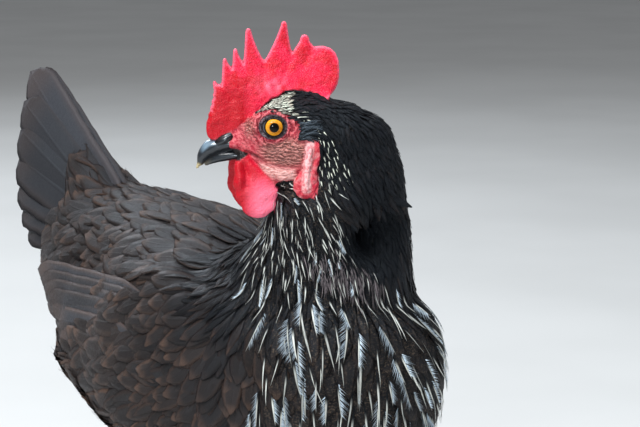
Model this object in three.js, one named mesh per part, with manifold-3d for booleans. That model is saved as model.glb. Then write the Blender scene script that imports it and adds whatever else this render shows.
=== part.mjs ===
// A life-size laying hen, standing, with its head turned over its right shoulder.
// Millimetres, +Z up. The hen faces -Y, its right side is -X, and it stands on z = 0.
import * as THREE from "three";
import { mergeVertices } from "three/addons/utils/BufferGeometryUtils.js";
import Module from "manifold-3d";

const wasm = await Module();
wasm.setup();

// ---- Driving dimensions ----
const GAP = 0.3; // left between neighbouring pieces
const EYE_HEIGHT = 324; // of the head's own origin, midway between the eyes
const HEAD_PLACE = [-26, -66, EYE_HEIGHT];
const HEAD_YAW = 145; // degrees from +X to the bill: the body faces -90
const BACK_FEATHERS_TOP = 273;
const FOOT_SPREAD = 44; // sideways, from the middle plane to a shank's foot
const FOOT_Y = 2;
const HOCK = { side: 41, y: 27, z: 101 };
const SHANK_RADIUS = 5.6;
const BILL_TIP = [38.4, -20]; // forward of and above the head's origin
const EYEBALL_RADIUS = 6.3;
const EYE_CENTRE = [0.5, 8.9, 1.5]; // forward, sideways, above the head's origin
const COMB_BASE_THICKNESS = 8;
const COMB_TIP_THICKNESS = 3.2;
const WATTLE_THICKNESS = 4.8;
const FAR_WATTLE_SWING = [2.6, 0, 1]; // the right wattle hangs forward of the left one
const TAIL_ROOT = [0, 103, 246];
const TAIL_FEATHERS = 5; // on each side
const TAIL_LENGTH = 113;
const TAIL_RISE = [39, 8]; // degrees above level, from the middle pair to the outer pair
const PRIMARIES = 3; // that show past the end of each folded wing

// ---- Colours ----
const PLUMAGE = { color: 0x1b1613, roughness: 0.62, metalness: 0 };
const WING_PLUMAGE = { color: 0x231b17, roughness: 0.6, metalness: 0 };
const RED_SKIN = { color: 0xc5182a, roughness: 0.55, metalness: 0 };
const LOBE_SKIN = { color: 0xd8707a, roughness: 0.5, metalness: 0 };
const HORN = { color: 0x2b2a2c, roughness: 0.32, metalness: 0 };
const EYE = { color: 0xd9791b, roughness: 0.08, metalness: 0 };
const LEG_SCALES = { color: 0x4a4b4d, roughness: 0.5, metalness: 0 };

const X = new THREE.Vector3(1, 0, 0);
const MINUS_Y = new THREE.Vector3(0, -1, 0); // across the head: rings that run forward then rise towards +Z
const Z = new THREE.Vector3(0, 0, 1);
const degrees = THREE.MathUtils.degToRad;
const lerp = THREE.MathUtils.lerp;
const vector = (p) => new THREE.Vector3(...p);

// A smooth line through rows of numbers: at(t) gives the row at t from 0 to 1, by cubic blending.
function smoothRows(rows) {
  const last = rows.length - 1;
  return (t) => {
    const at = Math.min(t * last, last - 1e-9);
    const i = Math.floor(at);
    const u = at - i;
    return rows[0].map((_, k) => {
      const p = rows[i][k];
      const q = rows[i + 1][k];
      const before = i ? rows[i - 1][k] : 2 * p - q;
      const after = i + 2 <= last ? rows[i + 2][k] : 2 * q - p;
      const a = (q - before) / 2;
      const b = (after - p) / 2;
      return p + u * (a + u * (3 * (q - p) - 2 * a - b + u * (2 * (p - q) + a + b)));
    });
  };
}

// A closed surface from rings carried along a path. Each row holds x, y, z of the ring's centre, its half
// width, its rise above the centre and its drop below it. side is the direction of the half width;
// upright keeps the rings' other direction at +Z instead of square to the path. Both ends are rounded
// over, capDepths deep. grow swells the whole surface, which leaves the gap between neighbours.
function loft(rows, options = {}) {
  const { rings = 10, sides = 16, side = X, upright = false, power = 2, grow = 0 } = options;
  const { capDepths = [6, 6], capRings = 3, ripple = () => 1 } = options;
  const rowAt = smoothRows(rows);
  const centreAt = (t) => vector(rowAt(t));
  const frames = [];
  for (let i = 0; i <= rings; i++) {
    const t = i / rings;
    const ahead = centreAt(Math.min(t + 0.01, 1)).sub(centreAt(Math.max(t - 0.01, 0))).normalize();
    const across = side.clone().addScaledVector(ahead, upright ? 0 : -side.dot(ahead)).normalize();
    const up = upright ? Z.clone() : new THREE.Vector3().crossVectors(across, ahead).normalize();
    frames.push({ centre: centreAt(t), ahead, across, up, row: rowAt(t), swell: ripple(t), shrink: 1 });
  }
  const capped = (frame, depth, direction) =>
    Array.from({ length: capRings }, (_, k) => {
      const angle = ((k + 1) / (capRings + 1)) * (Math.PI / 2);
      const centre = frame.centre.clone();
      centre.addScaledVector(frame.ahead, direction * (depth + grow) * Math.sin(angle));
      return { ...frame, centre, shrink: Math.cos(angle) };
    });
  const first = frames[0];
  const final = frames[rings];
  const all = [...capped(first, capDepths[0], -1).reverse(), ...frames, ...capped(final, capDepths[1], 1)];
  const positions = [];
  const bulge = (v) => Math.sign(v) * Math.abs(v) ** (2 / power);
  for (const { centre, across, up, row, swell, shrink } of all) {
    for (let j = 0; j < sides; j++) {
      const angle = (j / sides) * 2 * Math.PI;
      const c = bulge(Math.cos(angle));
      const s = bulge(Math.sin(angle));
      const reach = (s > 0 ? row[4] : row[5]) * swell;
      const p = centre.clone().addScaledVector(across, (row[3] * swell + grow) * shrink * c);
      p.addScaledVector(up, (reach + grow) * shrink * s);
      positions.push(p.x, p.y, p.z);
    }
  }
  const tail = first.centre.clone().addScaledVector(first.ahead, -(capDepths[0] + grow));
  const nose = final.centre.clone().addScaledVector(final.ahead, capDepths[1] + grow);
  const tailIndex = positions.length / 3;
  positions.push(...tail, ...nose);
  const index = [];
  const lastRing = all.length - 1;
  for (let j = 0; j < sides; j++) {
    const next = (j + 1) % sides;
    for (let i = 0; i < lastRing; i++) {
      const [a, b] = [i * sides + j, i * sides + next];
      index.push(a, a + sides, b, b, a + sides, b + sides);
    }
    index.push(tailIndex, j, next);
    index.push(tailIndex + 1, lastRing * sides + next, lastRing * sides + j);
  }
  return geometryOf(positions, index);
}

function geometryOf(positions, index) {
  const geometry = new THREE.BufferGeometry();
  geometry.setAttribute("position", new THREE.BufferAttribute(new Float32Array(positions), 3));
  geometry.setIndex(index);
  return geometry;
}

// The same surface on the other side of the middle plane, with its faces turned to point out again.
function mirrored(geometry) {
  const copy = geometry.clone().applyMatrix4(new THREE.Matrix4().makeScale(-1, 1, 1));
  const index = copy.index.array;
  for (let i = 0; i < index.length; i += 3) [index[i + 1], index[i + 2]] = [index[i + 2], index[i + 1]];
  return copy;
}

// A closed geometry as a manifold-3d solid.
function solid(geometry) {
  const bare = geometry.clone();
  bare.deleteAttribute("normal");
  bare.deleteAttribute("uv");
  const merged = mergeVertices(bare, 1e-4);
  return new wasm.Manifold(
    new wasm.Mesh({
      numProp: 3,
      vertProperties: merged.attributes.position.array,
      triVerts: new Uint32Array(merged.index.array),
    }),
  );
}

const join = (solids) => solids.reduce((all, one) => all.add(one));

// A large block on one side of the plane through a point, half the gap away from it.
function halfSpace(point, normal, direction) {
  const size = 1200;
  const n = vector(normal).normalize();
  const block = new THREE.BoxGeometry(size, size, size);
  block.translate(0, 0, direction * (size / 2 + GAP / 2));
  block.applyQuaternion(new THREE.Quaternion().setFromUnitVectors(Z, n));
  block.translate(...point);
  return solid(block);
}

const hen = new THREE.Group();

// A named mesh with a material of its own, from a solid. Shards too small to be a piece are dropped.
function piece(name, body, look) {
  const largest = body.decompose().reduce((a, b) => (a.volume() > b.volume() ? a : b));
  const made = largest.getMesh();
  const geometry = geometryOf(made.vertProperties, Array.from(made.triVerts)).toNonIndexed();
  geometry.computeVertexNormals();
  const mesh = new THREE.Mesh(geometry, new THREE.MeshStandardMaterial(look));
  mesh.name = name;
  hen.add(mesh);
}

// Puts a geometry made in the head's own frame (+X to the bill, +Y to the hen's left) on the hen.
const headMatrix = new THREE.Matrix4()
  .makeRotationZ(degrees(HEAD_YAW))
  .setPosition(...HEAD_PLACE);
const onHead = (geometry) => geometry.clone().applyMatrix4(headMatrix);
const headPoint = (p) => vector(p).applyMatrix4(headMatrix);
const headDirection = (p) => vector(p).transformDirection(headMatrix);

// ---- Trunk, neck and head: modelled whole, then parted by thin flat cuts ----
const trunkShape = (grow) =>
  loft(
    [
      // x, y, height of the widest place, half width, rise to the back, drop to the belly
      [0, -92, 198, 60, 53, 70],
      [0, -62, 199, 70, BACK_FEATHERS_TOP - 211, 87],
      [0, -24, 199, 75, BACK_FEATHERS_TOP - 208, 95],
      [0, 22, 201, 68, BACK_FEATHERS_TOP - 205, 95],
      [0, 66, 207, 60, BACK_FEATHERS_TOP - 208, 87],
      [0, 104, 217, 52, BACK_FEATHERS_TOP - 217, 68],
      [0, 134, 229, 40, BACK_FEATHERS_TOP - 232, 45],
    ],
    { rings: 9, sides: 18, upright: true, power: 2.2, capDepths: [40, 24], capRings: 3, grow },
  );
// The rise from the saddle to the root of the tail.
const tailRootShape = (grow) =>
  loft(
    [
      [0, 102, 233, 42, 30, 30],
      [0, 122, 250, 32, 24, 24],
      [0, 135, 269, 20, 17, 17],
      [0, 146, 285, 11, 11, 11],
    ],
    { rings: 4, sides: 12, capDepths: [10, 11], capRings: 1, grow },
  );

const NECK_SIDE = headDirection([1, 0, 0]);
const neckShape = (grow) =>
  loft(
    [
      // x, y, z, half width along the head, half depth across it twice
      [0, -60, 203, 66, 60, 60],
      [0, -73, 236, 53, 47, 47],
      [0.5, -83, 262, 42, 36, 36],
      [0, -88, 283, 38.5, 30, 30],
      [3.5, -89.7, 302, 32, 26, 26],
      [4.5, -90, 317, 25.5, 22.5, 22.5],
    ],
    { rings: 8, sides: 16, side: NECK_SIDE, capDepths: [30, 20], capRings: 2, grow },
  );

const headShape = (grow) =>
  onHead(
    loft(
      [
        // forward, sideways, height of the widest place, half width, rise, drop
        [-36, 0, -9, 24, 23, 25],
        [-25, 0, -9, 22, 26.5, 26],
        [-14, 0, -8, 19, 27.5, 27],
        [-3, 0, -7, 15, 24.5, 25.5],
        [8, 0, -6.5, 11.2, 14.8, 17],
        [18, 0, -7, 7.2, 7, 8.4],
      ],
      { rings: 7, sides: 14, side: MINUS_Y, capDepths: [16, 4], capRings: 2, grow },
    ),
  );

const FLESH_SHAPES = [trunkShape, tailRootShape, neckShape, headShape];
const fleshShapes = (grow) => FLESH_SHAPES.map((shape) => solid(shape(grow)));
const flesh = join(fleshShapes(0));
const fleshGrown = join(fleshShapes(GAP));

const neckCut = [[0, -76, 249], [0, -0.36, 0.93]];
const midNeckCut = [[0, -86, 283], [0, -0.1, 1]];
const headCut = [headPoint([-27, 0, -14]).toArray(), headDirection([0.8, 0, 0.6]).toArray()];
const aboveTrunk = flesh.intersect(halfSpace(...neckCut, 1));
const neck = aboveTrunk.intersect(halfSpace(...headCut, -1));

// ---- Eyes ----
const SIDES = [["left", 1], ["right", -1]];
function eyeball(s, grow) {
  const ball = new THREE.SphereGeometry(EYEBALL_RADIUS + grow, 12, 7);
  const [forward, sideways, above] = EYE_CENTRE;
  return solid(onHead(ball.rotateX(Math.PI / 2).translate(forward, s * sideways, above)));
}

// ---- Bill: two horny sheaths, the upper one hooked over the lower ----
const upperBillShape = (grow) =>
  loft(
    [
      // forward, sideways, height, half width, rise, drop
      [12, 0, -6.9, 6.6, 4.8, 4.6],
      [20, 0, -7.3, 6.4, 4.6, 4.8],
      [27, 0, -8.7, 5.6, 4.3, 4.8],
      [32, 0, -10.7, 4.5, 4.3, 4.8],
      [35.6, 0, -13.9, 3, 2.7, 3.9],
      [37.5, 0, -17.4, 1.6, 0.9, 2.4],
      [BILL_TIP[0] - 0.2, 0, BILL_TIP[1] + 0.8, 0.7, 0.5, 0.9],
    ],
    { rings: 8, sides: 8, side: MINUS_Y, capDepths: [2, 1.2], capRings: 1, grow },
  );
const lowerBillShape = (grow) =>
  loft(
    [
      [10, 0, -13.8, 5.5, 2.8, 2.7],
      [18, 0, -13.8, 5.1, 3, 2.6],
      [25.5, 0, -14.9, 4, 3.6, 2.5],
      [30.5, 0, -16.5, 2.8, 3.6, 1.9],
      [33.2, 0, -18, 1.6, 2.6, 1.1],
    ],
    { rings: 5, sides: 8, side: MINUS_Y, capDepths: [2, 1.5], capRings: 1, grow },
  );

// ---- Comb: a single upright blade with six points, thick at its foot ----
const COMB_TEETH = [
  // each point's tip, the foot of the notch behind it, and half the width near its tip
  [29.2, 22.8, 25.8, 21.4, 0.9],
  [24, 34, 20.4, 29.4, 1.1],
  [18.8, 38.8, 14.8, 32, 1.1],
  [12.3, 48.8, 4.4, 33.2, 1.5],
  [-5.4, 52.2, -9.6, 37.4, 1.8],
  [-15.8, 45.4, -20.4, 40.2, 2.6],
];
function combOutline() {
  const outline = new THREE.Shape();
  outline.moveTo(28.5, -6);
  outline.quadraticCurveTo(33.6, -6, 33.6, -1);
  outline.quadraticCurveTo(33.6, 4, 31, 9);
  outline.quadraticCurveTo(29, 14, 29.6, 19);
  for (const [tipX, tipZ, notchX, notchZ, blunt] of COMB_TEETH) {
    const { x, y: z } = outline.currentPoint;
    const front = tipX + blunt;
    const rear = tipX - blunt;
    const shoulder = tipZ - blunt;
    outline.quadraticCurveTo(lerp(x, front, 0.6), lerp(z, tipZ, 0.42), front, shoulder);
    outline.quadraticCurveTo(tipX, tipZ + 1.6 + blunt, rear, shoulder);
    outline.quadraticCurveTo(lerp(rear, notchX, 0.5), lerp(tipZ, notchZ, 0.75), notchX, notchZ);
  }
  outline.quadraticCurveTo(-33.6, 42.5, -33.2, 28);
  outline.quadraticCurveTo(-33.4, 18, -27, 15);
  outline.quadraticCurveTo(-22, 12, -16, 8);
  outline.quadraticCurveTo(4, 4, 12, -3);
  outline.quadraticCurveTo(20, -6, 28.5, -6);
  return outline;
}
function combShape(grow) {
  const blade = new THREE.ExtrudeGeometry(combOutline(), {
    depth: 1, steps: 1, bevelEnabled: false, curveSegments: 3,
  });
  blade.translate(0, 0, -0.5).rotateX(Math.PI / 2);
  const p = blade.attributes.position;
  for (let i = 0; i < p.count; i++) {
    const height = THREE.MathUtils.clamp((p.getZ(i) - 5) / 40, 0, 1);
    const thickness = lerp(COMB_BASE_THICKNESS, COMB_TIP_THICKNESS, Math.sqrt(height)) + 2 * grow;
    p.setY(i, p.getY(i) * thickness);
  }
  return onHead(blade);
}

// ---- Wattles and ear lobes: hanging flaps of skin ----
const flap = (s, rows, options, swing = [0, 0, 0]) => {
  const left = loft(rows, { rings: 4, sides: 10, side: X, capRings: 2, ...options });
  const turned = s > 0 ? left : mirrored(left.rotateZ(Math.PI)).translate(...swing);
  return onHead(turned);
};
const wattleShape = (s, grow) =>
  flap(
    s,
    [
      // forward, sideways, height, half width, half thickness twice
      [15.8, 6.2, -12.5, 2.6, 2.2, 2.2],
      [14.4, 7.8, -18.5, 5.6, WATTLE_THICKNESS / 2, WATTLE_THICKNESS / 2],
      [12, 9, -24.5, 8.8, WATTLE_THICKNESS / 2, WATTLE_THICKNESS / 2],
      [9.2, 9.8, -30.5, 11.2, 2.3, 2.3],
      [7.4, 10.1, -37.2, 9.4, 2.1, 2.1],
    ],
    { capDepths: [2, 7.2], grow },
    FAR_WATTLE_SWING,
  );
const lobeShape = (s, grow) =>
  flap(
    s,
    [
      [-17.8, 18.2, -8, 2.9, 2.4, 2.4],
      [-17.4, 20.4, -16, 3.9, 2.9, 2.9],
      [-15.2, 22, -23, 5.6, 3, 3],
      [-14.2, 22.6, -29.6, 5.2, 2.4, 2.4],
    ],
    { capDepths: [3, 3.2], grow },
  );

// ---- Wings: folded against the trunk, with the ends of the long feathers past them ----
const WING_ROWS = [
  // y, z, outermost reach, half height, half thickness: a full bow in front, then flat along the saddle
  [-88, 207, 57, 22, 9],
  [-60, 206, 70.5, 39, 13],
  [-22, 204, 79, 47, 15.5],
  [12, 204, 78, 45, 15],
  [40, 206, 69.5, 39.5, 12],
  [68, 210, 64, 33.5, 8],
  [94, 216, 58, 25, 6],
  [114, 221, 51, 16, 5],
];
const WING_LEAN = 0.26; // towards the back, for each unit of height
const wingShape = (s, grow) => {
  const rows = WING_ROWS.map(([y, z, reach, high, thick]) => [thick - reach, y, z, high, thick, thick]);
  const right = loft(rows, {
    rings: 8, sides: 12, side: new THREE.Vector3(WING_LEAN, 0, 1).normalize(), power: 2.3,
    capDepths: [15, 16], capRings: 1, grow,
  });
  return s < 0 ? right : mirrored(right);
};

// One long feather as a thin closed blade from its root towards its tip. face is the way it looks.
function bladeShape(root, tip, width, thickness, face) {
  const along = tip.clone().sub(root);
  const across = new THREE.Vector3().crossVectors(along, face).normalize();
  const half = [0.3, 0.42, 0.5, 0.46];
  const rows = half.map((share, i) => {
    const place = root.clone().addScaledVector(along, (i / (half.length - 1)) * 0.9);
    return [...place, width * share, thickness / 2, thickness / 2];
  });
  return loft(rows, {
    rings: 3, sides: 4, side: across, capDepths: [2, along.length() * 0.1], capRings: 1,
  });
}

function wingSolid(s) {
  const blades = [];
  for (let i = 0; i < PRIMARIES; i++) {
    const t = i / (PRIMARIES - 1);
    const root = new THREE.Vector3(-58, 80, lerp(224, 210, t));
    const tip = new THREE.Vector3(lerp(-45, -48, t), lerp(137, 122, t), lerp(228, 211, t));
    const blade = bladeShape(root, tip, 22, 3.6, new THREE.Vector3(-1, -0.3, 0.1));
    blades.push(solid(s < 0 ? blade : mirrored(blade)));
  }
  return join([solid(wingShape(s, 0)), ...blades]);
}

// ---- Tail: two fans of long feathers that lean together like a roof ----
function tailSolid(s) {
  const blades = [];
  for (let i = 0; i < TAIL_FEATHERS; i++) {
    const t = i / (TAIL_FEATHERS - 1);
    const rise = degrees(lerp(...TAIL_RISE, t));
    const splay = degrees(lerp(1, 12, t));
    const root = vector(TAIL_ROOT).add(new THREE.Vector3(-lerp(5, 14, t), 0, lerp(3, -9, t)));
    const along = new THREE.Vector3(
      -Math.sin(splay), Math.cos(rise) * Math.cos(splay), Math.sin(rise) * Math.cos(splay),
    );
    const tip = root.clone().addScaledVector(along, TAIL_LENGTH * lerp(1, 0.5, t));
    const face = new THREE.Vector3(-1, -lerp(0.1, 0.5, t), lerp(0.25, 0.8, t)).normalize();
    const blade = bladeShape(root, tip, 33, 3.4, face);
    blades.push(solid(s < 0 ? blade : mirrored(blade)));
  }
  return join(blades);
}

// ---- Legs ----
const legX = (s, side) => s * side;
const thighShape = (s, grow) =>
  loft(
    [
      // x, y, z, half width, half depth twice
      [legX(s, 40), 2, 152, 25, 33, 33],
      [legX(s, 42), 10, 131, 20, 26, 26],
      [legX(s, 41.5), 21, 113, 12.5, 16, 16],
      [legX(s, HOCK.side), HOCK.y - 1, HOCK.z + 3, 9.4, 11, 11],
    ],
    { rings: 4, sides: 10, capDepths: [10, 4], capRings: 1, grow },
  );
const shankShape = (s, grow) =>
  loft(
    [
      [legX(s, HOCK.side), HOCK.y, HOCK.z + 2, 6.6, 8, 8],
      [legX(s, HOCK.side + 0.3), HOCK.y - 3, HOCK.z - 10, 6.6, 7.6, 7.6],
      [legX(s, 42), 18, 72, SHANK_RADIUS - 0.4, SHANK_RADIUS + 0.6, SHANK_RADIUS + 0.6],
      [legX(s, 43), 10, 42, SHANK_RADIUS - 0.6, SHANK_RADIUS + 0.4, SHANK_RADIUS + 0.4],
      [legX(s, FOOT_SPREAD), FOOT_Y + 2, 17, 6.6, 6.6, 6.6],
    ],
    { rings: 6, sides: 8, capDepths: [6, 3], capRings: 1, grow },
  );
// The pad under the place where shank and toes meet. Its sole is flat.
const soleHeight = 6.8;
const padShape = (s, grow) => {
  const ball = new THREE.SphereGeometry(1, 10, 6).rotateX(Math.PI / 2);
  return ball
    .scale(9.6 + grow, 10.4 + grow, 8.6 + grow)
    .translate(legX(s, FOOT_SPREAD), FOOT_Y - 1, soleHeight);
};
// name, degrees away from straight ahead (positive is outwards), length to the claw, root radius, joints
const TOES = [
  ["middle", 4, 60, 5.2, 3],
  ["inner", -32, 43, 4.8, 2],
  ["outer", 38, 47, 4.6, 3],
  ["hind", -160, 27, 4.2, 1],
];
const CLAW_LENGTH = 13;
function toeFrame(s, [, turn]) {
  const angle = degrees(-90) + s * degrees(turn);
  return new THREE.Vector3(Math.cos(angle), Math.sin(angle), 0);
}
function toeRows(s, toe, from, heights, radii) {
  const [, , length] = toe;
  const along = toeFrame(s, toe);
  const start = new THREE.Vector3(legX(s, FOOT_SPREAD), FOOT_Y, 0);
  return heights.map((height, i) => {
    const distance = lerp(from, length, i / (heights.length - 1));
    const place = start.clone().addScaledVector(along, distance);
    return [place.x, place.y, height, radii[i], radii[i], radii[i]];
  });
}
function toeShape(s, toe, grow) {
  const [name, , , radius, joints] = toe;
  const radii = [1, 0.97, 0.86, 0.74].map((share) => radius * share);
  const lift = name === "hind" ? 6 : 2;
  const heights = radii.map((r, i) => r * 0.85 + [lift, 0.4, 0, 0][i]);
  const along = toeFrame(s, toe);
  return loft(toeRows(s, toe, 4, heights, radii), {
    rings: 2 * joints + 2, sides: 6, side: new THREE.Vector3(-along.y, along.x, 0),
    capDepths: [2, 3], capRings: 1, grow,
    ripple: (t) => 1 + 0.05 * Math.cos(2 * Math.PI * joints * t),
  });
}
function clawShape(s, toe, grow) {
  const [, , length, radius] = toe;
  const along = toeFrame(s, toe);
  const start = new THREE.Vector3(legX(s, FOOT_SPREAD), FOOT_Y, 0);
  const rows = [[-2, 4.4, 0.5], [3, 5.4, 0.5], [7.5, 4.2, 0.34], [CLAW_LENGTH - 1.6, 1.6, 0.14]];
  const placed = rows.map(([beyond, height, share]) => {
    const place = start.clone().addScaledVector(along, length + beyond);
    return [place.x, place.y, height, radius * share * 0.85, radius * share, radius * share];
  });
  return loft(placed, {
    rings: 3, sides: 6, side: new THREE.Vector3(-along.y, along.x, 0),
    capDepths: [1, 0.8], capRings: 1, grow,
  });
}

// ---- The pieces, each cut clear of the ones it meets ----
const aboveFloor = halfSpace([0, 0, -GAP / 2], [0, 0, 1], 1);
const combGrown = solid(combShape(GAP));
const comb = solid(combShape(0)).subtract(fleshGrown);
const upperBill = solid(onHead(upperBillShape(0)));
const lowerBillGrown = solid(onHead(lowerBillShape(GAP)));
const upperBillGrown = solid(onHead(upperBillShape(GAP)));
const eyesGrown = join(SIDES.map(([, s]) => eyeball(s, GAP)));

const head = aboveTrunk
  .intersect(halfSpace(...headCut, 1))
  .subtract(upperBillGrown)
  .subtract(lowerBillGrown)
  .subtract(eyesGrown);
const thighsGrown = join(SIDES.map(([, s]) => solid(thighShape(s, GAP))));
piece("trunk", flesh.intersect(halfSpace(...neckCut, -1)), PLUMAGE);
piece("neck_lower", neck.intersect(halfSpace(...midNeckCut, -1)), PLUMAGE);
piece("neck_upper", neck.intersect(halfSpace(...midNeckCut, 1)), PLUMAGE);
piece("head", head, PLUMAGE);
piece("comb", comb.subtract(upperBillGrown), RED_SKIN);
piece("bill_upper", upperBill, HORN);
piece("bill_lower", solid(onHead(lowerBillShape(0))).subtract(upperBillGrown), HORN);

for (const [side, s] of SIDES) {
  piece("eye_" + side, eyeball(s, 0), EYE);
  const wattle = solid(wattleShape(s, 0)).subtract(fleshGrown);
  piece("wattle_" + side, wattle.subtract(upperBillGrown).subtract(lowerBillGrown), RED_SKIN);
  piece("earlobe_" + side, solid(lobeShape(s, 0)).subtract(fleshGrown), LOBE_SKIN);
  const wing = wingSolid(s).subtract(fleshGrown).subtract(thighsGrown);
  piece("wing_" + side, wing, WING_PLUMAGE);
  const otherSide = halfSpace([0, 0, 0], [s, 0, 0], 1);
  piece("tail_" + side, tailSolid(s).intersect(otherSide).subtract(fleshGrown), PLUMAGE);

  const shank = solid(shankShape(s, 0));
  const shankGrown = solid(shankShape(s, GAP));
  const pad = solid(padShape(s, 0)).intersect(aboveFloor);
  const padGrown = solid(padShape(s, GAP));
  const thigh = solid(thighShape(s, 0)).subtract(fleshGrown).subtract(shankGrown);
  piece("thigh_" + side, thigh, PLUMAGE);
  piece("shank_" + side, shank.subtract(padGrown), LEG_SCALES);
  piece("foot_pad_" + side, pad, LEG_SCALES);
  let taken = padGrown.add(shankGrown);
  for (const toe of TOES) {
    const name = `${toe[0]}_${side}`;
    const toeSolid = solid(toeShape(s, toe, 0)).intersect(aboveFloor).subtract(taken);
    piece("toe_" + name, toeSolid, LEG_SCALES);
    const toeGrown = solid(toeShape(s, toe, GAP));
    piece("claw_" + name, solid(clawShape(s, toe, 0)).subtract(toeGrown), HORN);
    taken = taken.add(toeGrown);
  }
}

// The origin is the middle of the foot of the whole hen's box.
const box = new THREE.Box3().setFromObject(hen, true);
const middle = box.getCenter(new THREE.Vector3());
hen.position.set(-middle.x, -middle.y, -box.min.z);

export default hen;
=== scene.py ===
"""A life-size laying hen that looks back over its right shoulder: skin, plumage, bill, eyes and legs.

Shapes are worked out in millimetres, in the hen's own frame (+Z up, facing -Y, its right side -X) or in its
head's frame (+X to the bill, +Y to its left, +Z up). They become metres when a mesh is made."""

import math

import bpy
import numpy as np
from bpy.props import FloatProperty, FloatVectorProperty, PointerProperty
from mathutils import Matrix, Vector
from mathutils.bvhtree import BVHTree
from mathutils.kdtree import KDTree


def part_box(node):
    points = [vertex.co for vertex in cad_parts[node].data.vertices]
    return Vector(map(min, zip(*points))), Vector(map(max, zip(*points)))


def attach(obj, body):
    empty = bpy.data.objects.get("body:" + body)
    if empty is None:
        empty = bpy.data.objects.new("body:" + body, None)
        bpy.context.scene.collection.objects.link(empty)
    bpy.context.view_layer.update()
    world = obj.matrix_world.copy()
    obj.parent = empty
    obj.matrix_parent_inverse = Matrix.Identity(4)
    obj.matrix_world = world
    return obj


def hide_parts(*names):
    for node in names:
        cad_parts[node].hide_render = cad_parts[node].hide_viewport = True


bl_info = {
    "name": "Laying hen",
    "version": (1, 0, 0),
    "blender": (4, 5, 0),
    "location": "3D View > Sidebar > Hen",
    "description": "Builds the skin, plumage, bill, eyes and legs of a life-size laying hen",
    "category": "Object",
}

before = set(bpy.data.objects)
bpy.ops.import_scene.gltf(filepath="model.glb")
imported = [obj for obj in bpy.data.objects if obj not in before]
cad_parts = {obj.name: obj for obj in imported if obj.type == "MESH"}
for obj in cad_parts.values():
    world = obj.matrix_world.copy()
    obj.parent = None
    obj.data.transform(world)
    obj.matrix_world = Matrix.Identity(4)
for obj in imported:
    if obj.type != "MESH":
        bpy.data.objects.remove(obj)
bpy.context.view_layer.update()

MM = 0.001
SIDES = (("left", 1), ("right", -1))
HEAD_YAW = math.radians(145)
HEAD_PLACE = np.array([-26.0, -66.0, 324.0])  # of the head frame's origin, in the hen's frame
AHEAD = np.array([math.cos(HEAD_YAW), math.sin(HEAD_YAW), 0.0])
LEFTWARDS = np.array([-math.sin(HEAD_YAW), math.cos(HEAD_YAW), 0.0])
UP = np.array([0.0, 0.0, 1.0])
HEAD_FRAME = np.stack([AHEAD, LEFTWARDS, UP])
RIGHTWARDS = (0, -1, 0)  # in the head's frame
SOLID_EYE = (0.5, 1.5)  # forward and up in the head's frame, of both eyes in the solids
EYE = np.array([0.5, 8.2, 1.5])  # in the head's frame, of the left eye
EYEBALL = 6.0  # radius
BILL_TIP = (38.4, -20.0)  # forward and up in the head's frame
BACK_TOP = 273.0  # height of the back's ridge
SKY = (0.86, 0.93, 1.0)


def hen_shift():
    """What to add to a place in the hen's own frame to have it in the CAD frame, from the eyes' boxes."""
    corners = [corner for side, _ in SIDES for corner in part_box("eye_" + side)]
    middle = np.mean([np.array(corner) for corner in corners], axis=0) / MM
    return middle - (HEAD_PLACE + AHEAD * SOLID_EYE[0] + UP * SOLID_EYE[1])


SHIFT = hen_shift()


# ---- Arithmetic on whole arrays ----
def smooth_step(low, high, value):
    """0 up to low, 1 from high on, and 3t^2 - 2t^3 between them. low may be the larger one."""
    t = np.clip((value - low) / (high - low), 0.0, 1.0)
    return t * t * (3.0 - 2.0 * t)


def lerp(a, b, t):
    """The mix of two values that holds a share t of the second one."""
    return a + (b - a) * t


def swell(distance, width):
    """A bell curve, 1 where the distance is 0: e to the power of -(distance / width)^2."""
    return np.exp(-((distance / width) ** 2))


def unit(vectors):
    """Vectors divided by their own lengths."""
    return vectors / np.maximum(np.linalg.norm(vectors, axis=-1, keepdims=True), 1e-9)


def dot(a, b):
    """The sum of the products of two vectors' parts, kept as a column."""
    return np.sum(a * b, axis=-1, keepdims=True)


def waves(points, size, seed):
    """Soft noise from -1 to 1: the mean of sine waves of about that size, in directions the seed draws."""
    rng, count = np.random.default_rng(seed), 7
    directions = unit(rng.normal(size=(count, 3))) * rng.uniform(0.7, 1.5, (count, 1)) * 2 * math.pi / size
    phases = rng.uniform(0, 2 * math.pi, count)
    return np.mean(np.sin(points @ directions.T + phases), axis=-1) * 1.8


def on_head(places):
    """From the head's frame to the hen's."""
    return HEAD_PLACE + places @ HEAD_FRAME


def to_head(places):
    """From the hen's frame to the head's."""
    return (places - HEAD_PLACE) @ HEAD_FRAME.T


def distance_to_line(points, line):
    """The distance of 2D points to an open line of segments, each one's nearest foot taken in turn."""
    nearest = np.full(len(points), 1e9)
    for a, b in zip(line[:-1], line[1:]):
        along = b - a
        t = np.clip(((points - a) @ along) / max(along @ along, 1e-9), 0, 1)
        nearest = np.minimum(nearest, np.linalg.norm(points - a - t[:, None] * along, axis=1))
    return nearest


def distance_to_edge(points, outline):
    """The distance of 2D points to a closed outline."""
    return distance_to_line(points, np.vstack([outline, outline[:1]]))


def inside(points, outline):
    """Which 2D points lie inside a closed outline, by counting the edges that a level ray crosses."""
    found = np.zeros(len(points), bool)
    for a, b in zip(outline, np.roll(outline, -1, axis=0)):
        crosses = (a[1] > points[:, 1]) != (b[1] > points[:, 1])
        rise = b[1] - a[1] if abs(b[1] - a[1]) > 1e-9 else 1e-9
        found ^= crosses & (points[:, 0] < a[0] + (points[:, 1] - a[1]) * (b[0] - a[0]) / rise)
    return found


def region(points, outline, edge, grow=0.0):
    """1 inside a closed outline and 0 outside it, with a soft edge of that width on each side. grow moves the
    edge outwards."""
    away = distance_to_edge(points, outline)
    return smooth_step(-edge, edge, np.where(inside(points, outline), away, -away) + grow)


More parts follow.
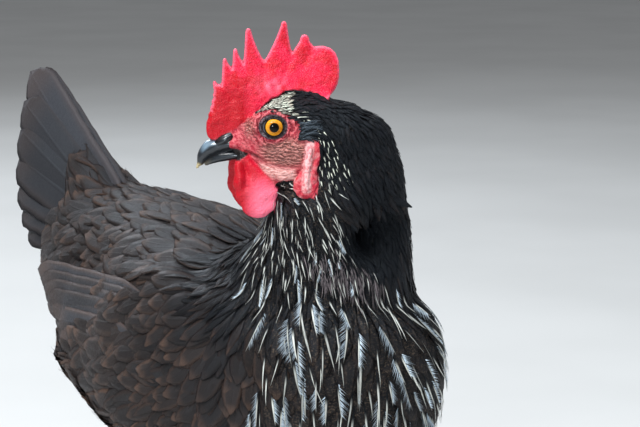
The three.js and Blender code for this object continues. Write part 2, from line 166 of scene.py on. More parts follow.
# ---- Shells: closed surfaces worked out as grids ----
class Shell:
    """Points, arrays of faces with equally many corners, and each corner's place in a flat map."""

    def __init__(self, points, faces, maps=None):
        self.points = points
        self.faces = faces
        self.maps = maps or [np.zeros(f.shape + (2,)) for f in faces]

    def moved(self, change):
        return Shell(change(self.points), self.faces, self.maps)

    def turned_over(self):
        """The same surface with the other side of its faces out."""
        return Shell(self.points, [f[:, ::-1] for f in self.faces], [m[:, ::-1] for m in self.maps])

    def mirrored(self, axis):
        """The same surface on the other side, with its faces turned to point out again."""
        points = self.points.copy()
        points[:, axis] *= -1
        return Shell(points, self.faces, self.maps).turned_over()


def joined(shells):
    """Several shells as one, with each one's face numbers moved on past the points before it."""
    starts = np.cumsum([0] + [len(s.points) for s in shells])
    faces = [f + start for s, start in zip(shells, starts) for f in s.faces]
    maps = [m for s in shells for m in s.maps]
    return Shell(np.vstack([s.points for s in shells]), faces, maps)


def smooth_rows(rows, t):
    """The row at each t from 0 to 1, by cubic blending through rows of numbers."""
    rows = np.asarray(rows, float)
    last = len(rows) - 1
    at = np.clip(np.asarray(t, float) * last, 0, last - 1e-9)
    i = at.astype(int)
    u = (at - i)[:, None]
    padded = np.vstack([2 * rows[0] - rows[1], rows, 2 * rows[-1] - rows[-2]])
    before, p, q, after = (padded[i + k] for k in range(4))
    a = (q - before) / 2
    b = (after - p) / 2
    return p + u * (a + u * (3 * (q - p) - 2 * a - b + u * (2 * (p - q) + a + b)))


def loft(rows, rings=24, sides=32, side=(1, 0, 0), upright=False, power=2.0, caps=(6, 6), cap_rings=5,
         grow=0.0, ripple=None):
    """A closed surface of rings carried along a path: each point is the ring's centre, plus across times the
    half width times a bulged cosine, plus up times the rise or drop times a bulged sine. Both ends are
    rounded over by quarter ellipses. A row holds x, y, z, half width, rise and drop. ripple scales a ring
    by a function of its place along the path and of each point's angle."""
    t = np.linspace(0, 1, rings + 1)
    row = smooth_rows(rows, t)
    ahead = unit(smooth_rows(rows, t + 0.01)[:, :3] - smooth_rows(rows, t - 0.01)[:, :3])
    side = np.tile(np.asarray(side, float), (rings + 1, 1))
    across = unit(side - (0 if upright else 1) * dot(side, ahead) * ahead)
    up = np.tile(UP, (rings + 1, 1)) if upright else np.cross(across, ahead)
    turn = np.arange(1, cap_rings + 1) / (cap_rings + 1) * math.pi / 2
    index = np.concatenate([np.zeros(cap_rings, int), np.arange(rings + 1), np.full(cap_rings, rings)])
    depth = np.concatenate([
        -(caps[0] + grow) * np.sin(turn)[::-1], np.zeros(rings + 1), (caps[1] + grow) * np.sin(turn)])
    shrink = np.concatenate([np.cos(turn)[::-1], np.ones(rings + 1), np.cos(turn)])[:, None]
    centre = row[index, :3] + ahead[index] * depth[:, None]
    angle = np.arange(sides) / sides * 2 * math.pi
    bulge = lambda v: np.sign(v) * np.abs(v) ** (2 / power)
    c, s = bulge(np.cos(angle)), bulge(np.sin(angle))
    scale = np.ones((len(index), sides)) if ripple is None else ripple(t[index][:, None], angle[None, :])
    reach = np.where(s > 0, row[index, 4:5], row[index, 5:6]) * scale
    width = (row[index, 3:4] * scale + grow) * shrink
    grid = centre[:, None] + across[index][:, None] * (width * c)[..., None]
    grid = grid + up[index][:, None] * ((reach + grow) * shrink * s)[..., None]
    poles = np.stack([row[0, :3] - ahead[0] * (caps[0] + grow), row[-1, :3] + ahead[-1] * (caps[1] + grow)])
    along = np.concatenate([[0], np.cumsum(np.linalg.norm(np.diff(centre, axis=0), axis=1))])
    return closed_grid(grid, poles, along)


def ring_cells(rings, sides):
    """The cells between rings of points that close on themselves: each cell's ring, its place round it, and
    the numbers of its first two points."""
    i, j = (index.ravel() for index in np.meshgrid(np.arange(rings), np.arange(sides), indexing="ij"))
    return i, j, i * sides + j, i * sides + (j + 1) % sides


def closed_grid(grid, poles, along):
    """Quads over a grid of rings that close on themselves, and triangles from its end rings to two poles. The
    flat map holds each corner's share of the way round and its distance along, in centimetres."""
    rings, sides = grid.shape[:2]
    i, j, a, b = ring_cells(rings - 1, sides)
    quads = np.stack([a, a + sides, b + sides, b], axis=1)
    u, v = j / sides, along / 10
    corners = (u, v[i]), (u, v[i + 1]), (u + 1 / sides, v[i + 1]), (u + 1 / sides, v[i])
    quad_map = np.stack([np.stack(corner, 1) for corner in corners], axis=1)
    ring = np.arange(sides)
    following = (ring + 1) % sides
    first, final = rings * sides, (rings - 1) * sides
    triangles = np.vstack([
        np.stack([np.full(sides, first), ring, following], 1),
        np.stack([np.full(sides, first + 1), final + following, final + ring], 1)])
    share = ring / sides
    ends = [np.stack([np.stack([share, np.full(sides, end)], 1)] * 3, axis=1) for end in (v[0], v[-1])]
    return Shell(np.vstack([grid.reshape(-1, 3), poles]), [quads, triangles], [quad_map, np.vstack(ends)])


# ---- From shells to Blender meshes ----
def mesh_of(name, shell, layers=("Along",), colours=None, vectors=None, metres=False):
    """A mesh with smooth faces, its flat maps and its attributes, written as whole arrays."""
    mesh = bpy.data.meshes.new(name)
    places = shell.points if metres else (shell.points + SHIFT) * MM
    corners = np.concatenate([f.ravel() for f in shell.faces])
    sizes = np.concatenate([np.full(len(f), f.shape[1]) for f in shell.faces])
    mesh.vertices.add(len(places))
    mesh.vertices.foreach_set("co", places.astype(np.float32).ravel())
    mesh.loops.add(len(corners))
    mesh.loops.foreach_set("vertex_index", corners.astype(np.int32))
    mesh.polygons.add(len(sizes))
    mesh.polygons.foreach_set("loop_start", (np.cumsum(sizes) - sizes).astype(np.int32))
    mesh.polygons.foreach_set("use_smooth", np.ones(len(sizes), bool))
    maps = [shell.maps] if len(layers) == 1 else list(zip(*shell.maps))
    for layer, corners_map in zip(layers, maps):
        flat = np.concatenate([m.reshape(-1, 2) for m in corners_map])
        mesh.uv_layers.new(name=layer).data.foreach_set("uv", flat.astype(np.float32).ravel())
    mesh.update(calc_edges=True)
    for kind, field, named in (("FLOAT_COLOR", "color", colours), ("FLOAT_VECTOR", "vector", vectors)):
        for key, values in (named or {}).items():
            attribute = mesh.attributes.new(key, kind, "POINT")
            attribute.data.foreach_set(field, values.astype(np.float32).ravel())
    return mesh


def linked(name, data):
    """A new object in the scene that shows some data."""
    made = bpy.data.objects.new(name, data)
    bpy.context.scene.collection.objects.link(made)
    return made


def shown(mesh, material, slot, *nodes):
    """Puts a finished mesh in the scene as a piece that rides on the root body and stands for CAD nodes."""
    piece = linked(mesh.name, mesh)
    mesh.materials.append(material)
    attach(piece, "root")
    if nodes:
        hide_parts(*nodes)


def worked(mesh, *modifiers):
    """The mesh that a stack of modifiers makes of another, each given as its type and settings."""
    rough = linked("rough", mesh)
    for number, (kind, settings) in enumerate(modifiers):
        modifier = rough.modifiers.new(f"step{number}", kind)
        for key, value in settings.items():
            setattr(modifier, key, value)
    made = bpy.data.meshes.new_from_object(rough.evaluated_get(bpy.context.evaluated_depsgraph_get()))
    bpy.data.objects.remove(rough)
    bpy.data.meshes.remove(mesh)
    return made


def read(items, key, kind=np.float32):
    """Three numbers of each of a mesh's items, as rows."""
    values = np.empty(len(items) * 3, kind)
    items.foreach_get(key, values)
    return values.reshape(-1, 3)


def points_of(mesh):
    """A mesh's points in the hen's frame, in millimetres."""
    return read(mesh.vertices, "co").astype(float) / MM - SHIFT


def normals_of(mesh):
    return read(mesh.vertex_normals, "vector").astype(float)


def triangles_of(mesh):
    mesh.calc_loop_triangles()
    return read(mesh.loop_triangles, "vertices", np.int32)


def set_points(mesh, points):
    """Moves a mesh's points to places in the hen's frame, in millimetres."""
    mesh.vertices.foreach_set("co", ((points + SHIFT) * MM).astype(np.float32).ravel())
    mesh.update()


# ---- Shader nodes ----
class Paint:
    """A material and short calls that add shader nodes to it and join them up."""

    def __init__(self, name):
        self.material = bpy.data.materials.new(name)
        self.material.use_nodes = True
        self.tree = self.material.node_tree
        self.shader = self.tree.nodes["Principled BSDF"]

    def node(self, kind, inputs=(), **settings):
        made = self.tree.nodes.new("ShaderNode" + kind)
        for key, value in settings.items():
            setattr(made, key, value)
        for key, value in dict(inputs).items():
            self.put(made.inputs[key], value)
        return made

    def put(self, socket, value):
        if isinstance(value, bpy.types.NodeSocket):
            self.tree.links.new(value, socket)
        elif isinstance(value, tuple) and len(value) == 3 and len(socket.default_value) == 4:
            socket.default_value = (*value, 1.0)
        else:
            socket.default_value = value

    def set(self, **values):
        for key, value in values.items():
            self.put(self.shader.inputs[key.replace("_", " ")], value)

    def math(self, operation, a, b=0.0):
        return self.node("Math", {0: a, 1: b}, operation=operation).outputs[0]

    def times(self, a, b):
        return self.math("MULTIPLY", a, b)

    def plus(self, a, b):
        return self.math("ADD", a, b)

    def step(self, value, low, high, start=0.0, end=1.0):
        """A value's smooth step from low to high, given out between start and end."""
        inputs = {"Value": value, "From Min": low, "From Max": high, "To Min": start, "To Max": end}
        return self.node("MapRange", inputs, interpolation_type="SMOOTHSTEP").outputs[0]

    def mix(self, share, a, b):
        """The colour or number that holds a share of b, and the rest of a."""
        made = self.node("Mix", data_type="RGBA")
        for index, value in ((0, share), (6, a), (7, b)):
            self.put(made.inputs[index], value)
        return made.outputs[2]

    def layered(self, ground, *layers):
        """A colour with others laid over it in turn, each by its own share."""
        for share, over in layers:
            ground = self.mix(share, ground, over)
        return ground

    def noise(self, place, scale, detail=2.0, rough=0.5):
        inputs = {"Vector": place, "Scale": scale, "Detail": detail, "Roughness": rough}
        return self.node("TexNoise", inputs).outputs["Fac"]

    def cells(self, place, scale):
        return self.node("TexVoronoi", {"Vector": place, "Scale": scale}).outputs["Distance"]

    def stretch(self, place, scale, turn=(0.0, 0.0, 0.0)):
        inputs = {"Vector": place, "Scale": scale, "Rotation": turn}
        return self.node("Mapping", inputs).outputs[0]

    def object_place(self):
        return self.node("TexCoord").outputs["Object"]

    def attribute(self, name):
        return self.node("Attribute", attribute_name=name)

    def channels(self, name):
        """The four numbers kept in a colour attribute."""
        source = self.attribute(name)
        split = self.node("SeparateColor", {"Color": source.outputs["Color"]})
        return [*split.outputs[:3], source.outputs["Alpha"]]

    def flat_map(self, name):
        split = self.node("SeparateXYZ", {"Vector": self.node("UVMap", uv_map=name).outputs[0]})
        return split.outputs[0], split.outputs[1]

    def bump(self, height, distance, strength):
        inputs = {"Height": height, "Distance": distance, "Strength": strength}
        return self.node("Bump", inputs).outputs[0]


# ---- Body shapes, as in the solids ----
TRUNK_ROWS = [
    # x, y, height of the widest place, half width, rise to the back, drop to the belly
    [0, -92, 198, 60, 53, 70],
    [0, -62, 199, 70, BACK_TOP - 211, 87],
    [0, -24, 199, 75, BACK_TOP - 208, 95],
    [0, 22, 201, 68, BACK_TOP - 205, 95],
    [0, 66, 207, 60, BACK_TOP - 208, 87],
    [0, 104, 217, 52, BACK_TOP - 217, 68],
    [0, 134, 229, 40, BACK_TOP - 232, 45],
]
TRUNK_POWER = 2.2
TAIL_ROOT_ROWS = [
    # x, y, z, half width, rise, drop
    [0, 102, 233, 42, 30, 30],
    [0, 122, 250, 32, 24, 24],
    [0, 135, 269, 20, 17, 17],
    [0, 146, 285, 11, 11, 11],
]
NECK_ROWS = [
    # x, y, z, half width along the head, half depth across it twice
    [0, -60, 203, 66, 60, 60],
    [0, -73, 236, 53, 47, 47],
    [0.5, -83, 262, 42, 36, 36],
    [0, -88, 283, 38.5, 30, 30],
    [3.5, -89.7, 302, 32, 26, 26],
    [4.5, -90, 317, 25.5, 22.5, 22.5],
]
HEAD_ROWS = [
    # forward, sideways, height of the widest place, half width, rise, drop
    [-36, 0, -9, 24, 22, 25],
    [-25, 0, -9, 21.5, 25.5, 26],
    [-14, 0, -8, 18.5, 26.5, 27],
    [-3, 0, -7, 14.8, 24, 25.5],
    [8, 0, -6.5, 11, 14.5, 17],
    [18, 0, -7, 7, 7, 8.4],
]
BILL_FOOT_ROWS = [
    [14, 0, -7.8, 7.6, 5.6, 3.6],
    [19, 0, -7.8, 7.5, 4.6, 3.0],
    [22.2, 0, -8.2, 7.0, 3.2, 2.4],
]
WING_ROWS = [
    # y, z, outermost reach, half height, half thickness
    [-88, 207, 57, 22, 9],
    [-60, 206, 70.5, 39, 13],
    [-22, 204, 79, 47, 15.5],
    [12, 204, 78, 45, 15],
    [40, 206, 69.5, 39.5, 12],
    [68, 210, 64, 33.5, 8],
]
WING_LEAN = 0.26
THIGH_ROWS = [
    # x, y, z, half width, half depth twice
    [40, 2, 152, 25, 33, 33],
    [42, 10, 131, 20, 26, 26],
    [41.5, 21, 113, 12.5, 16, 16],
    [41, 26, 104, 9.4, 11, 11],
]


def wing_core(grow):
    """The right wing's mass without its feathers: rings that lean over towards the back."""
    rows = [[thick - reach, y, z, high, thick, thick] for y, z, reach, high, thick in WING_ROWS]
    side = unit(np.array([WING_LEAN, 0.0, 1.0]))
    return loft(rows, rings=24, sides=36, side=side, power=2.3, caps=(15, 12), grow=grow)


def body_shells(coat):
    """The flesh of trunk, neck, wings and thighs, inside the plumage's outline by the coat's depth."""
    wing = wing_core(-0.9 * coat)
    thigh = loft(THIGH_ROWS, rings=14, sides=28, caps=(10, 4), grow=-0.6 * coat)
    return [
        loft(TRUNK_ROWS, rings=40, sides=64, upright=True, power=TRUNK_POWER, caps=(40, 24), grow=-coat),
        loft(TAIL_ROOT_ROWS, rings=14, sides=36, caps=(10, 8), grow=-0.7 * coat),
        loft(NECK_ROWS, rings=30, sides=56, side=AHEAD, caps=(30, 20), cap_rings=8, grow=-0.9 * coat),
        wing, wing.mirrored(0), thigh, thigh.mirrored(0),
    ]


def trunk_share(points):
    """How far out points lie in the trunk's loft: 1 on its surface. Each ring's numbers are read at the
    point's own y, and the share is that of its superellipse."""
    rows = np.asarray(TRUNK_ROWS, float)
    height, half, rise, drop = (np.interp(points[:, 1], rows[:, 1], rows[:, k]) for k in (2, 3, 4, 5))
    above = points[:, 2] - height
    level, steep = np.abs(points[:, 0] / half), np.abs(above / np.where(above > 0, rise, drop))
    return (level ** TRUNK_POWER + steep ** TRUNK_POWER) ** (1 / TRUNK_POWER)


# ---- Comb ----
COMB_TEETH = [
    # each point's tip, the foot of the notch behind it, and half the width near its tip
    [29.2, 22.8, 25.8, 21.4, 0.9],
    [24, 34, 20.4, 29.4, 1.1],
    [18.8, 38.8, 14.8, 32, 1.1],
    [12.3, 48.8, 4.4, 33.2, 1.5],
    [-5.4, 52.2, -9.6, 37.4, 1.8],
    [-15.8, 45.4, -20.4, 40.2, 2.6],
]
COMB_FOOT = np.array([
    # forward, and the height at which the plumage or the face meets the comb
    [-34, 12], [-30, 13.5], [-22.9, 16.4], [-14.4, 18.9], [-5.9, 18.4], [1.9, 14.0], [9.7, 7.4], [14.7, 3.5],
    [20, -0.5], [26, -3], [34, -8],
])


COMB_SERRATIONS = [
    # small notches up the front edge
    [33.4, 3], [32.2, 5.4], [32.6, 6.5], [31.3, 8.6], [31.7, 9.8], [30.5, 11.9], [30.9, 13.1], [29.7, 15],
    [30.2, 16.3], [29.5, 18],
]


def comb_outline():
    """The comb's outline, forward and up, as a chain of quadratic curves sampled at five places each."""
    start = np.array([28.5, -6.0])
    line = [start]

    def curve(cx, cz, ex, ez):
        a, c, e = line[-1], np.array([cx, cz]), np.array([ex, ez])
        for t in np.linspace(0.2, 1, 5):
            line.append((1 - t) ** 2 * a + 2 * t * (1 - t) * c + t * t * e)

    curve(33.6, -6, 33.6, -1)
    line.extend(np.array(COMB_SERRATIONS))
    for tip_x, tip_z, notch_x, notch_z, blunt in COMB_TEETH:
        x, z = line[-1]
        curve(lerp(x, tip_x + blunt, 0.6), lerp(z, tip_z, 0.42), tip_x + blunt, tip_z - blunt)
        curve(tip_x + blunt * 0.9, tip_z + 0.7, tip_x, tip_z + 0.8)
        curve(tip_x - blunt * 0.9, tip_z + 0.7, tip_x - blunt, tip_z - blunt)
        curve(lerp(tip_x - blunt, notch_x, 0.5), lerp(tip_z, notch_z, 0.75), notch_x, notch_z)
    curve(-33.6, 42.5, -33.2, 28)
    curve(-33.4, 18, -27, 15)
    curve(-22, 12, -16, 8)
    curve(4, 4, 12, -3)
    curve(20, -6, 28.5, -6)
    return np.array(line[:-1])


COMB = comb_outline()


def comb_thickness(height):
    """How thick the comb is at a height: thick at its foot, thinner with the root of the height above it."""
    return lerp(8.4, 3.4, np.sqrt(np.clip((height - 5) / 40, 0, 1)))


def comb_shell():
    """The comb as a plate: its outline on both sides, half its thickness out, joined by a rim of quads."""
    count = len(COMB)
    half = comb_thickness(COMB[:, 1]) / 2
    left = np.stack([COMB[:, 0], half, COMB[:, 1]], axis=1)
    ring = np.arange(count)
    rim = np.stack([ring, (ring + 1) % count, (ring + 1) % count + count, ring + count], axis=1)
    faces = [ring[None, ::-1], (ring + count)[None, :], rim]
    return Shell(np.vstack([left, left * [1, -1, 1]]), faces)


# ---- Wattles and ear lobes ----
WATTLE_ROWS = [
    # forward, sideways, height, half width, half thickness twice
    [15.8, 6.2, -12.5, 2.6, 2.2, 2.2],
    [14.4, 7.8, -18.5, 5.6, 2.4, 2.4],
    [12.2, 9.0, -24.5, 8.8, 2.4, 2.4],
    [9.4, 9.8, -30.5, 11.0, 2.3, 2.3],
    [8.2, 10.1, -37.2, 8.8, 2.1, 2.1],
]
WATTLE_CAPS = (2, 7.2)
FAR_WATTLE_OFFSET = np.array([2.6, 0, 1.0])  # the right wattle swings forward
LOBE_ROWS = [
    # the same of an ear lobe, and below of the rounded ridge along it
    [-18.2, 17.0, -5, 2.3, 1.4, 1.4],
    [-18.2, 18.6, -12, 2.9, 1.8, 1.8],
    [-17.0, 20.4, -18, 3.4, 2.0, 2.0],
    [-15.4, 21.6, -22.5, 5.2, 2.2, 2.2],
    [-14.2, 22.2, -27, 6.2, 2.2, 2.2],
    [-14.0, 22.3, -30.3, 4.6, 1.9, 1.9],
]
LOBE_CAPS = (2, 2.6)
LOBE_RIDGE_CAPS = (1.5, 2)
LOBE_RIDGE_ROWS = [
    [-16.6, 18.0, -5.2, 1.1, 1.3, 1.3],
    [-16.2, 20.4, -10, 1.6, 1.7, 1.7],
    [-15.2, 22.2, -17, 1.8, 2.0, 2.0],
    [-14.4, 23.4, -23.5, 1.7, 1.9, 1.9],
    [-14.6, 23.6, -28, 1.3, 1.5, 1.5],
]


def flap(rows, caps):
    """A hanging flap of skin on the left of the head: a flat loft that runs down."""
    return loft(rows, rings=26, sides=30, caps=caps)


def wattle_sides():
    """The two wattles: the left one, and its mirror image moved forward."""
    left = flap(WATTLE_ROWS, WATTLE_CAPS)
    return [left, left.mirrored(1).moved(lambda p: p + FAR_WATTLE_OFFSET)]


def head_shells():
    """Head, comb, wattles and ear lobes in the head's frame, with the soft skin that runs forward onto the
    sides of the bill."""
    shells = [
        loft(HEAD_ROWS, rings=36, sides=48, side=RIGHTWARDS, caps=(16, 4)), comb_shell(),
        loft(BILL_FOOT_ROWS, rings=16, sides=36, side=RIGHTWARDS, caps=(3, 0.8))]
    lobes = [flap(LOBE_ROWS, LOBE_CAPS), flap(LOBE_RIDGE_ROWS, LOBE_RIDGE_CAPS)]
    return shells + wattle_sides() + lobes + [one.mirrored(1) for one in lobes]


EYE_REACH = 12.0  # of the skin round the eye, sideways from the head's middle plane
# Outlines and lines on the side of the head, each place forward and up.
BARE_FACE = np.array([
    # the edge between bare face and feathers
    [40, -40], [40, 12], [17, 12], [12, 9.8], [9.8, 9.0], [6.2, 9.8], [0.7, 10.2], [-4.8, 9.0], [-8.4, 6.8],
    [-12.7, 4.4], [-14.4, 0.9], [-15.5, -2.5], [-20.5, -3.5], [-21.6, -12], [-21, -20], [-19, -27],
    [-13, -30], [-8, -26.5], [-1.8, -27], [2, -30], [6, -44],
])
EYEBROW = np.array([[-7.5, 7.4], [-13, 5.2], [-18, 2.2], [-22, -2.5]])
BEHIND_LOBE = np.array([[-21.5, -2], [-26, -4], [-32, -12], [-37, -22], [-34, -30], [-26, -28], [-22, -20]])
BROW = np.array([
    [10.8, 7.5], [8.8, 11], [5.6, 14.2], [0, 16.8], [-7.8, 17.6], [-6.5, 15.2], [-5.4, 11], [-9, 7.0],
    [-4.8, 8.0], [0, 8.9], [5, 8.4],
])
GAPE = np.array([[14.5, -11.0], [12.5, -11.9], [10, -12.8], [7.6, -14.2], [5.6, -16.0]])
WATTLE_FOLD = np.array([[15.2, -17.5], [14.2, -22], [14.4, -28]])
MOUTH_CORNER = np.array([[24, -9.4], [18.5, -9.8], [12.2, -12.0], [14.8, -13.8], [17.6, -15.6], [24, -16.2]])
CHEEK_STRIP = np.array([
    [7.5, -17.0], [-2, -19], [-9.5, -19.5], [-10.5, -24.5], [-3, -25.5], [2, -23.5], [6, -20.5]])


def flap_share(h, rows, caps):
    """The share from 0 to 1 of a hanging flap at places in the head's frame: within the flap's half width of
    its own middle line at the same height, narrowed to a half ellipse past both ends."""
    rows = np.asarray(rows, float)[::-1]
    z = h[:, 2]
    middle, out, half = (np.interp(z, rows[:, 2], rows[:, k]) for k in (0, 1, 3))
    past = np.maximum((rows[0, 2] - z) / caps[1], (z - rows[-1, 2]) / caps[0])
    half = half * np.sqrt(np.clip(1 - np.clip(past, 0, 1) ** 2, 0, 1))
    within = smooth_step(1.3, 0.2, np.abs(h[:, 0] - middle) - half)
    near = within * smooth_step(6.0, 4.2, np.abs(h[:, 1] - out))
    return near * smooth_step(1.25, 1.0, past)


def face_masks(h):
    """Shares from 0 to 1 of what the head's skin is at places in the head's frame: comb, wattle, ear lobe,
    bare face, and the distance to the axis of the eye."""
    side = h[:, [0, 2]]
    foot = np.interp(h[:, 0], COMB_FOOT[:, 0], COMB_FOOT[:, 1])
    comb = region(side, COMB, 1.0, 0.6) * smooth_step(8.5, 6.5, np.abs(h[:, 1]))
    comb = comb * smooth_step(-0.9, 0.5, h[:, 2] - foot + 0.5 * waves(h, 4, 21))
    mirrored = h * np.array([1, -1, 1])
    wattle, lobe, ridge = (
        np.maximum(flap_share(h, rows, caps), flap_share(mirrored - offset, rows, caps))
        for rows, caps, offset in (
            (WATTLE_ROWS, WATTLE_CAPS, FAR_WATTLE_OFFSET), (LOBE_ROWS, LOBE_CAPS, 0),
            (LOBE_RIDGE_ROWS, LOBE_RIDGE_CAPS, 0)))
    lobe = np.maximum(lobe, ridge)
    bare = region(side, BARE_FACE, 0.8) * (1 - comb)
    eye_distance = np.hypot(h[:, 0] - EYE[0], h[:, 2] - EYE[2])
    return comb, wattle, lobe, bare, eye_distance


def head_detail(h, normals):
    """The head's skin with its finer form. Each change is a bell or a smooth step of the distance to an eye,
    a crease or the comb's outline, added along the normal or to the sideways place."""
    h = h.copy()
    comb, wattle, lobe, bare, eye = face_masks(h)
    side = h[:, [0, 2]]
    sign = np.sign(h[:, 1])
    from_rim = distance_to_edge(side, COMB)
    round_rim = np.sqrt(1 - (1 - np.clip(from_rim / 2.6, 0, 1)) ** 2)
    grooves = sum(
        swell(distance_to_line(side, np.array([foot, foot * 0.74 + np.array([1.5, -1.0])])), 1.7)
        for foot in np.array(COMB_TEETH)[:, 2:4])
    lean = 1.1 * np.sin(0.085 * h[:, 0] + 0.6) + 0.8 * np.sin(0.13 * h[:, 2] + 0.05 * h[:, 0])
    plate = comb_thickness(h[:, 2]) / 2 * np.clip(round_rim, 0.2, 1) * (1 - 0.25 * grooves)
    plate = plate * (1 + 0.12 * waves(h, 11, 3)) + 0.12 * waves(h, 3.2, 4)
    rows = np.asarray(HEAD_ROWS, float)
    crown = np.interp(h[:, 0], rows[:, 0], rows[:, 2] + rows[:, 4])
    on_plate = comb * smooth_step(-0.5, 3.5, h[:, 2] - crown)
    height_share = np.clip((h[:, 2] - 8) / 25, 0, 1)
    h[:, 1] = lerp(h[:, 1], sign * plate + lean * height_share, on_plate)

    cheek = (np.abs(h[:, 1]) > 4) * (1 - comb) * (1 - wattle)
    near_eye = smooth_step(14.0, 7.5, eye) * cheek
    h[:, 1] = lerp(h[:, 1], sign * (EYE_REACH + 0.3 - 0.03 * eye), near_eye)
    socket = smooth_step(6.4, 5.6, eye) * cheek
    h[:, 1] = lerp(h[:, 1], sign * 8.6, socket)

    push = np.zeros(len(h))
    for amount, rise, width in ((-1.0, 0.0, 0.75), (0.55, 1.8, 0.9), (0.5, -1.8, 0.9)):
        push += amount * swell(distance_to_line(side, GAPE + [0, rise]), width) * bare
    push += 0.7 * region(side, CHEEK_STRIP, 1.5) * bare * (1 - lobe)
    around = bare * smooth_step(7.6, 9, eye) * smooth_step(17, 12, eye) * smooth_step(5, -2, h[:, 2])
    push += 0.36 * around * np.sin(eye * 2 * math.pi / 2.3 + 1.2 * waves(h, 8, 5))
    lines = bare * smooth_step(-4, -8, h[:, 2]) * smooth_step(12, 6, h[:, 0]) * (1 - lobe)
    push += 0.14 * lines * np.sin(h[:, 2] * 2 * math.pi / 1.5 + 1.6 * waves(h, 6, 6))
    behind = swell(h[:, 0] + 10.6, 2.4) * swell(h[:, 2] - 1, 6) * bare
    push += 0.75 * behind * np.sin((h[:, 0] + 0.3 * h[:, 2]) * 2 * math.pi / 2.2)
    pebbles = bare * smooth_step(8, 12, h[:, 0]) * smooth_step(22.5, 19, h[:, 0]) * (1 - wattle)
    push += 0.22 * waves(h, 1.8, 15) * pebbles
    push -= 1.4 * swell(distance_to_line(side, WATTLE_FOLD), 1.6) * wattle
    push += 1.1 * swell(distance_to_line(side, WATTLE_FOLD + [3.4, 0]), 2.2) * wattle
    flaps = np.maximum(wattle, lobe)
    push += 0.45 * waves(h, 9, 9) * wattle + 0.08 * waves(h, 2.4, 11) * np.maximum(flaps, bare * 0.6)
    push += 0.22 * waves(h, 3.6, 12) * lobe
    push -= 1.8 * (1 - bare) * (1 - np.clip(comb + wattle + lobe, 0, 1)) * smooth_step(9, -3, h[:, 0])
    return h + normals * push[:, None]


def neck_hollow(p):
    """How deep the skin lies back at places in the hen's frame, in the fold where the turned head's neck
    feathers hang over the neck below: an egg-shaped bell."""
    centre = np.array([2.0, -120.0, 273.0])
    away = (p - centre) / np.array([14.0, 30.0, 15.0])
    return 27.0 * np.exp(-np.sum(away * away, axis=1))


# ---- How the plumage lies ----
def neck_frame(p):
    """Each place's distance from the neck's axis at its own height, and its bearing round it in degrees."""
    axis = np.array(NECK_ROWS)
    x, y = (np.interp(p[:, 2], axis[:, 2], axis[:, k]) for k in (0, 1))
    dx, dy = p[:, 0] - x, p[:, 1] - y
    return np.hypot(dx, dy), np.degrees(np.arctan2(dy, dx)) % 360


def shares(p):
    """How much places belong to each tract of the plumage: head, neck, wing, thigh and tail root."""
    away, _ = neck_frame(p)
    front = smooth_step(30, 5, p[:, 1])
    head = smooth_step(282, 300, p[:, 2]) * front
    neck = smooth_step(68, 56, away) * smooth_step(222, 250, p[:, 2]) * front * (1 - head)
    beyond = smooth_step(0.97, 1.03, trunk_share(p)) * (1 - neck) * (1 - head) * (np.abs(p[:, 0]) > 30)
    wing = beyond * smooth_step(148, 160, p[:, 2]) * smooth_step(104, 92, p[:, 1])
    thigh = smooth_step(112, 104, p[:, 2] - 28 * swell(np.abs(p[:, 0]) - 42, 26) * (np.abs(p[:, 1] - 8) < 38))
    tail = smooth_step(104, 124, p[:, 1]) * smooth_step(246, 262, p[:, 2])
    return {"head": head, "neck": neck, "wing": wing, "thigh": thigh, "tail": tail}


def throat_share(p):
    """How much a place belongs to the streaked tract, which runs from the throat down and round to the
    front of the breast: a band round the neck whose middle bearing and width change with height."""
    _, bearing = neck_frame(p)
    z = p[:, 2]
    middle = np.interp(z, [150, 222, 238, 262, 285, 305], [280, 277, 250, 202, 178, 168])
    width = np.interp(z, [110, 180, 225, 240, 262, 285, 305], [68, 68, 66, 62, 50, 40, 34])
    off = np.abs((bearing - middle + 180) % 360 - 180)
    front = smooth_step(-2, -40, p[:, 1]) * smooth_step(308, 298, z)
    band = smooth_step(width + 12, width - 12, off) * front * smooth_step(104, 140, z)
    return band * (1 - shares(p)["wing"])


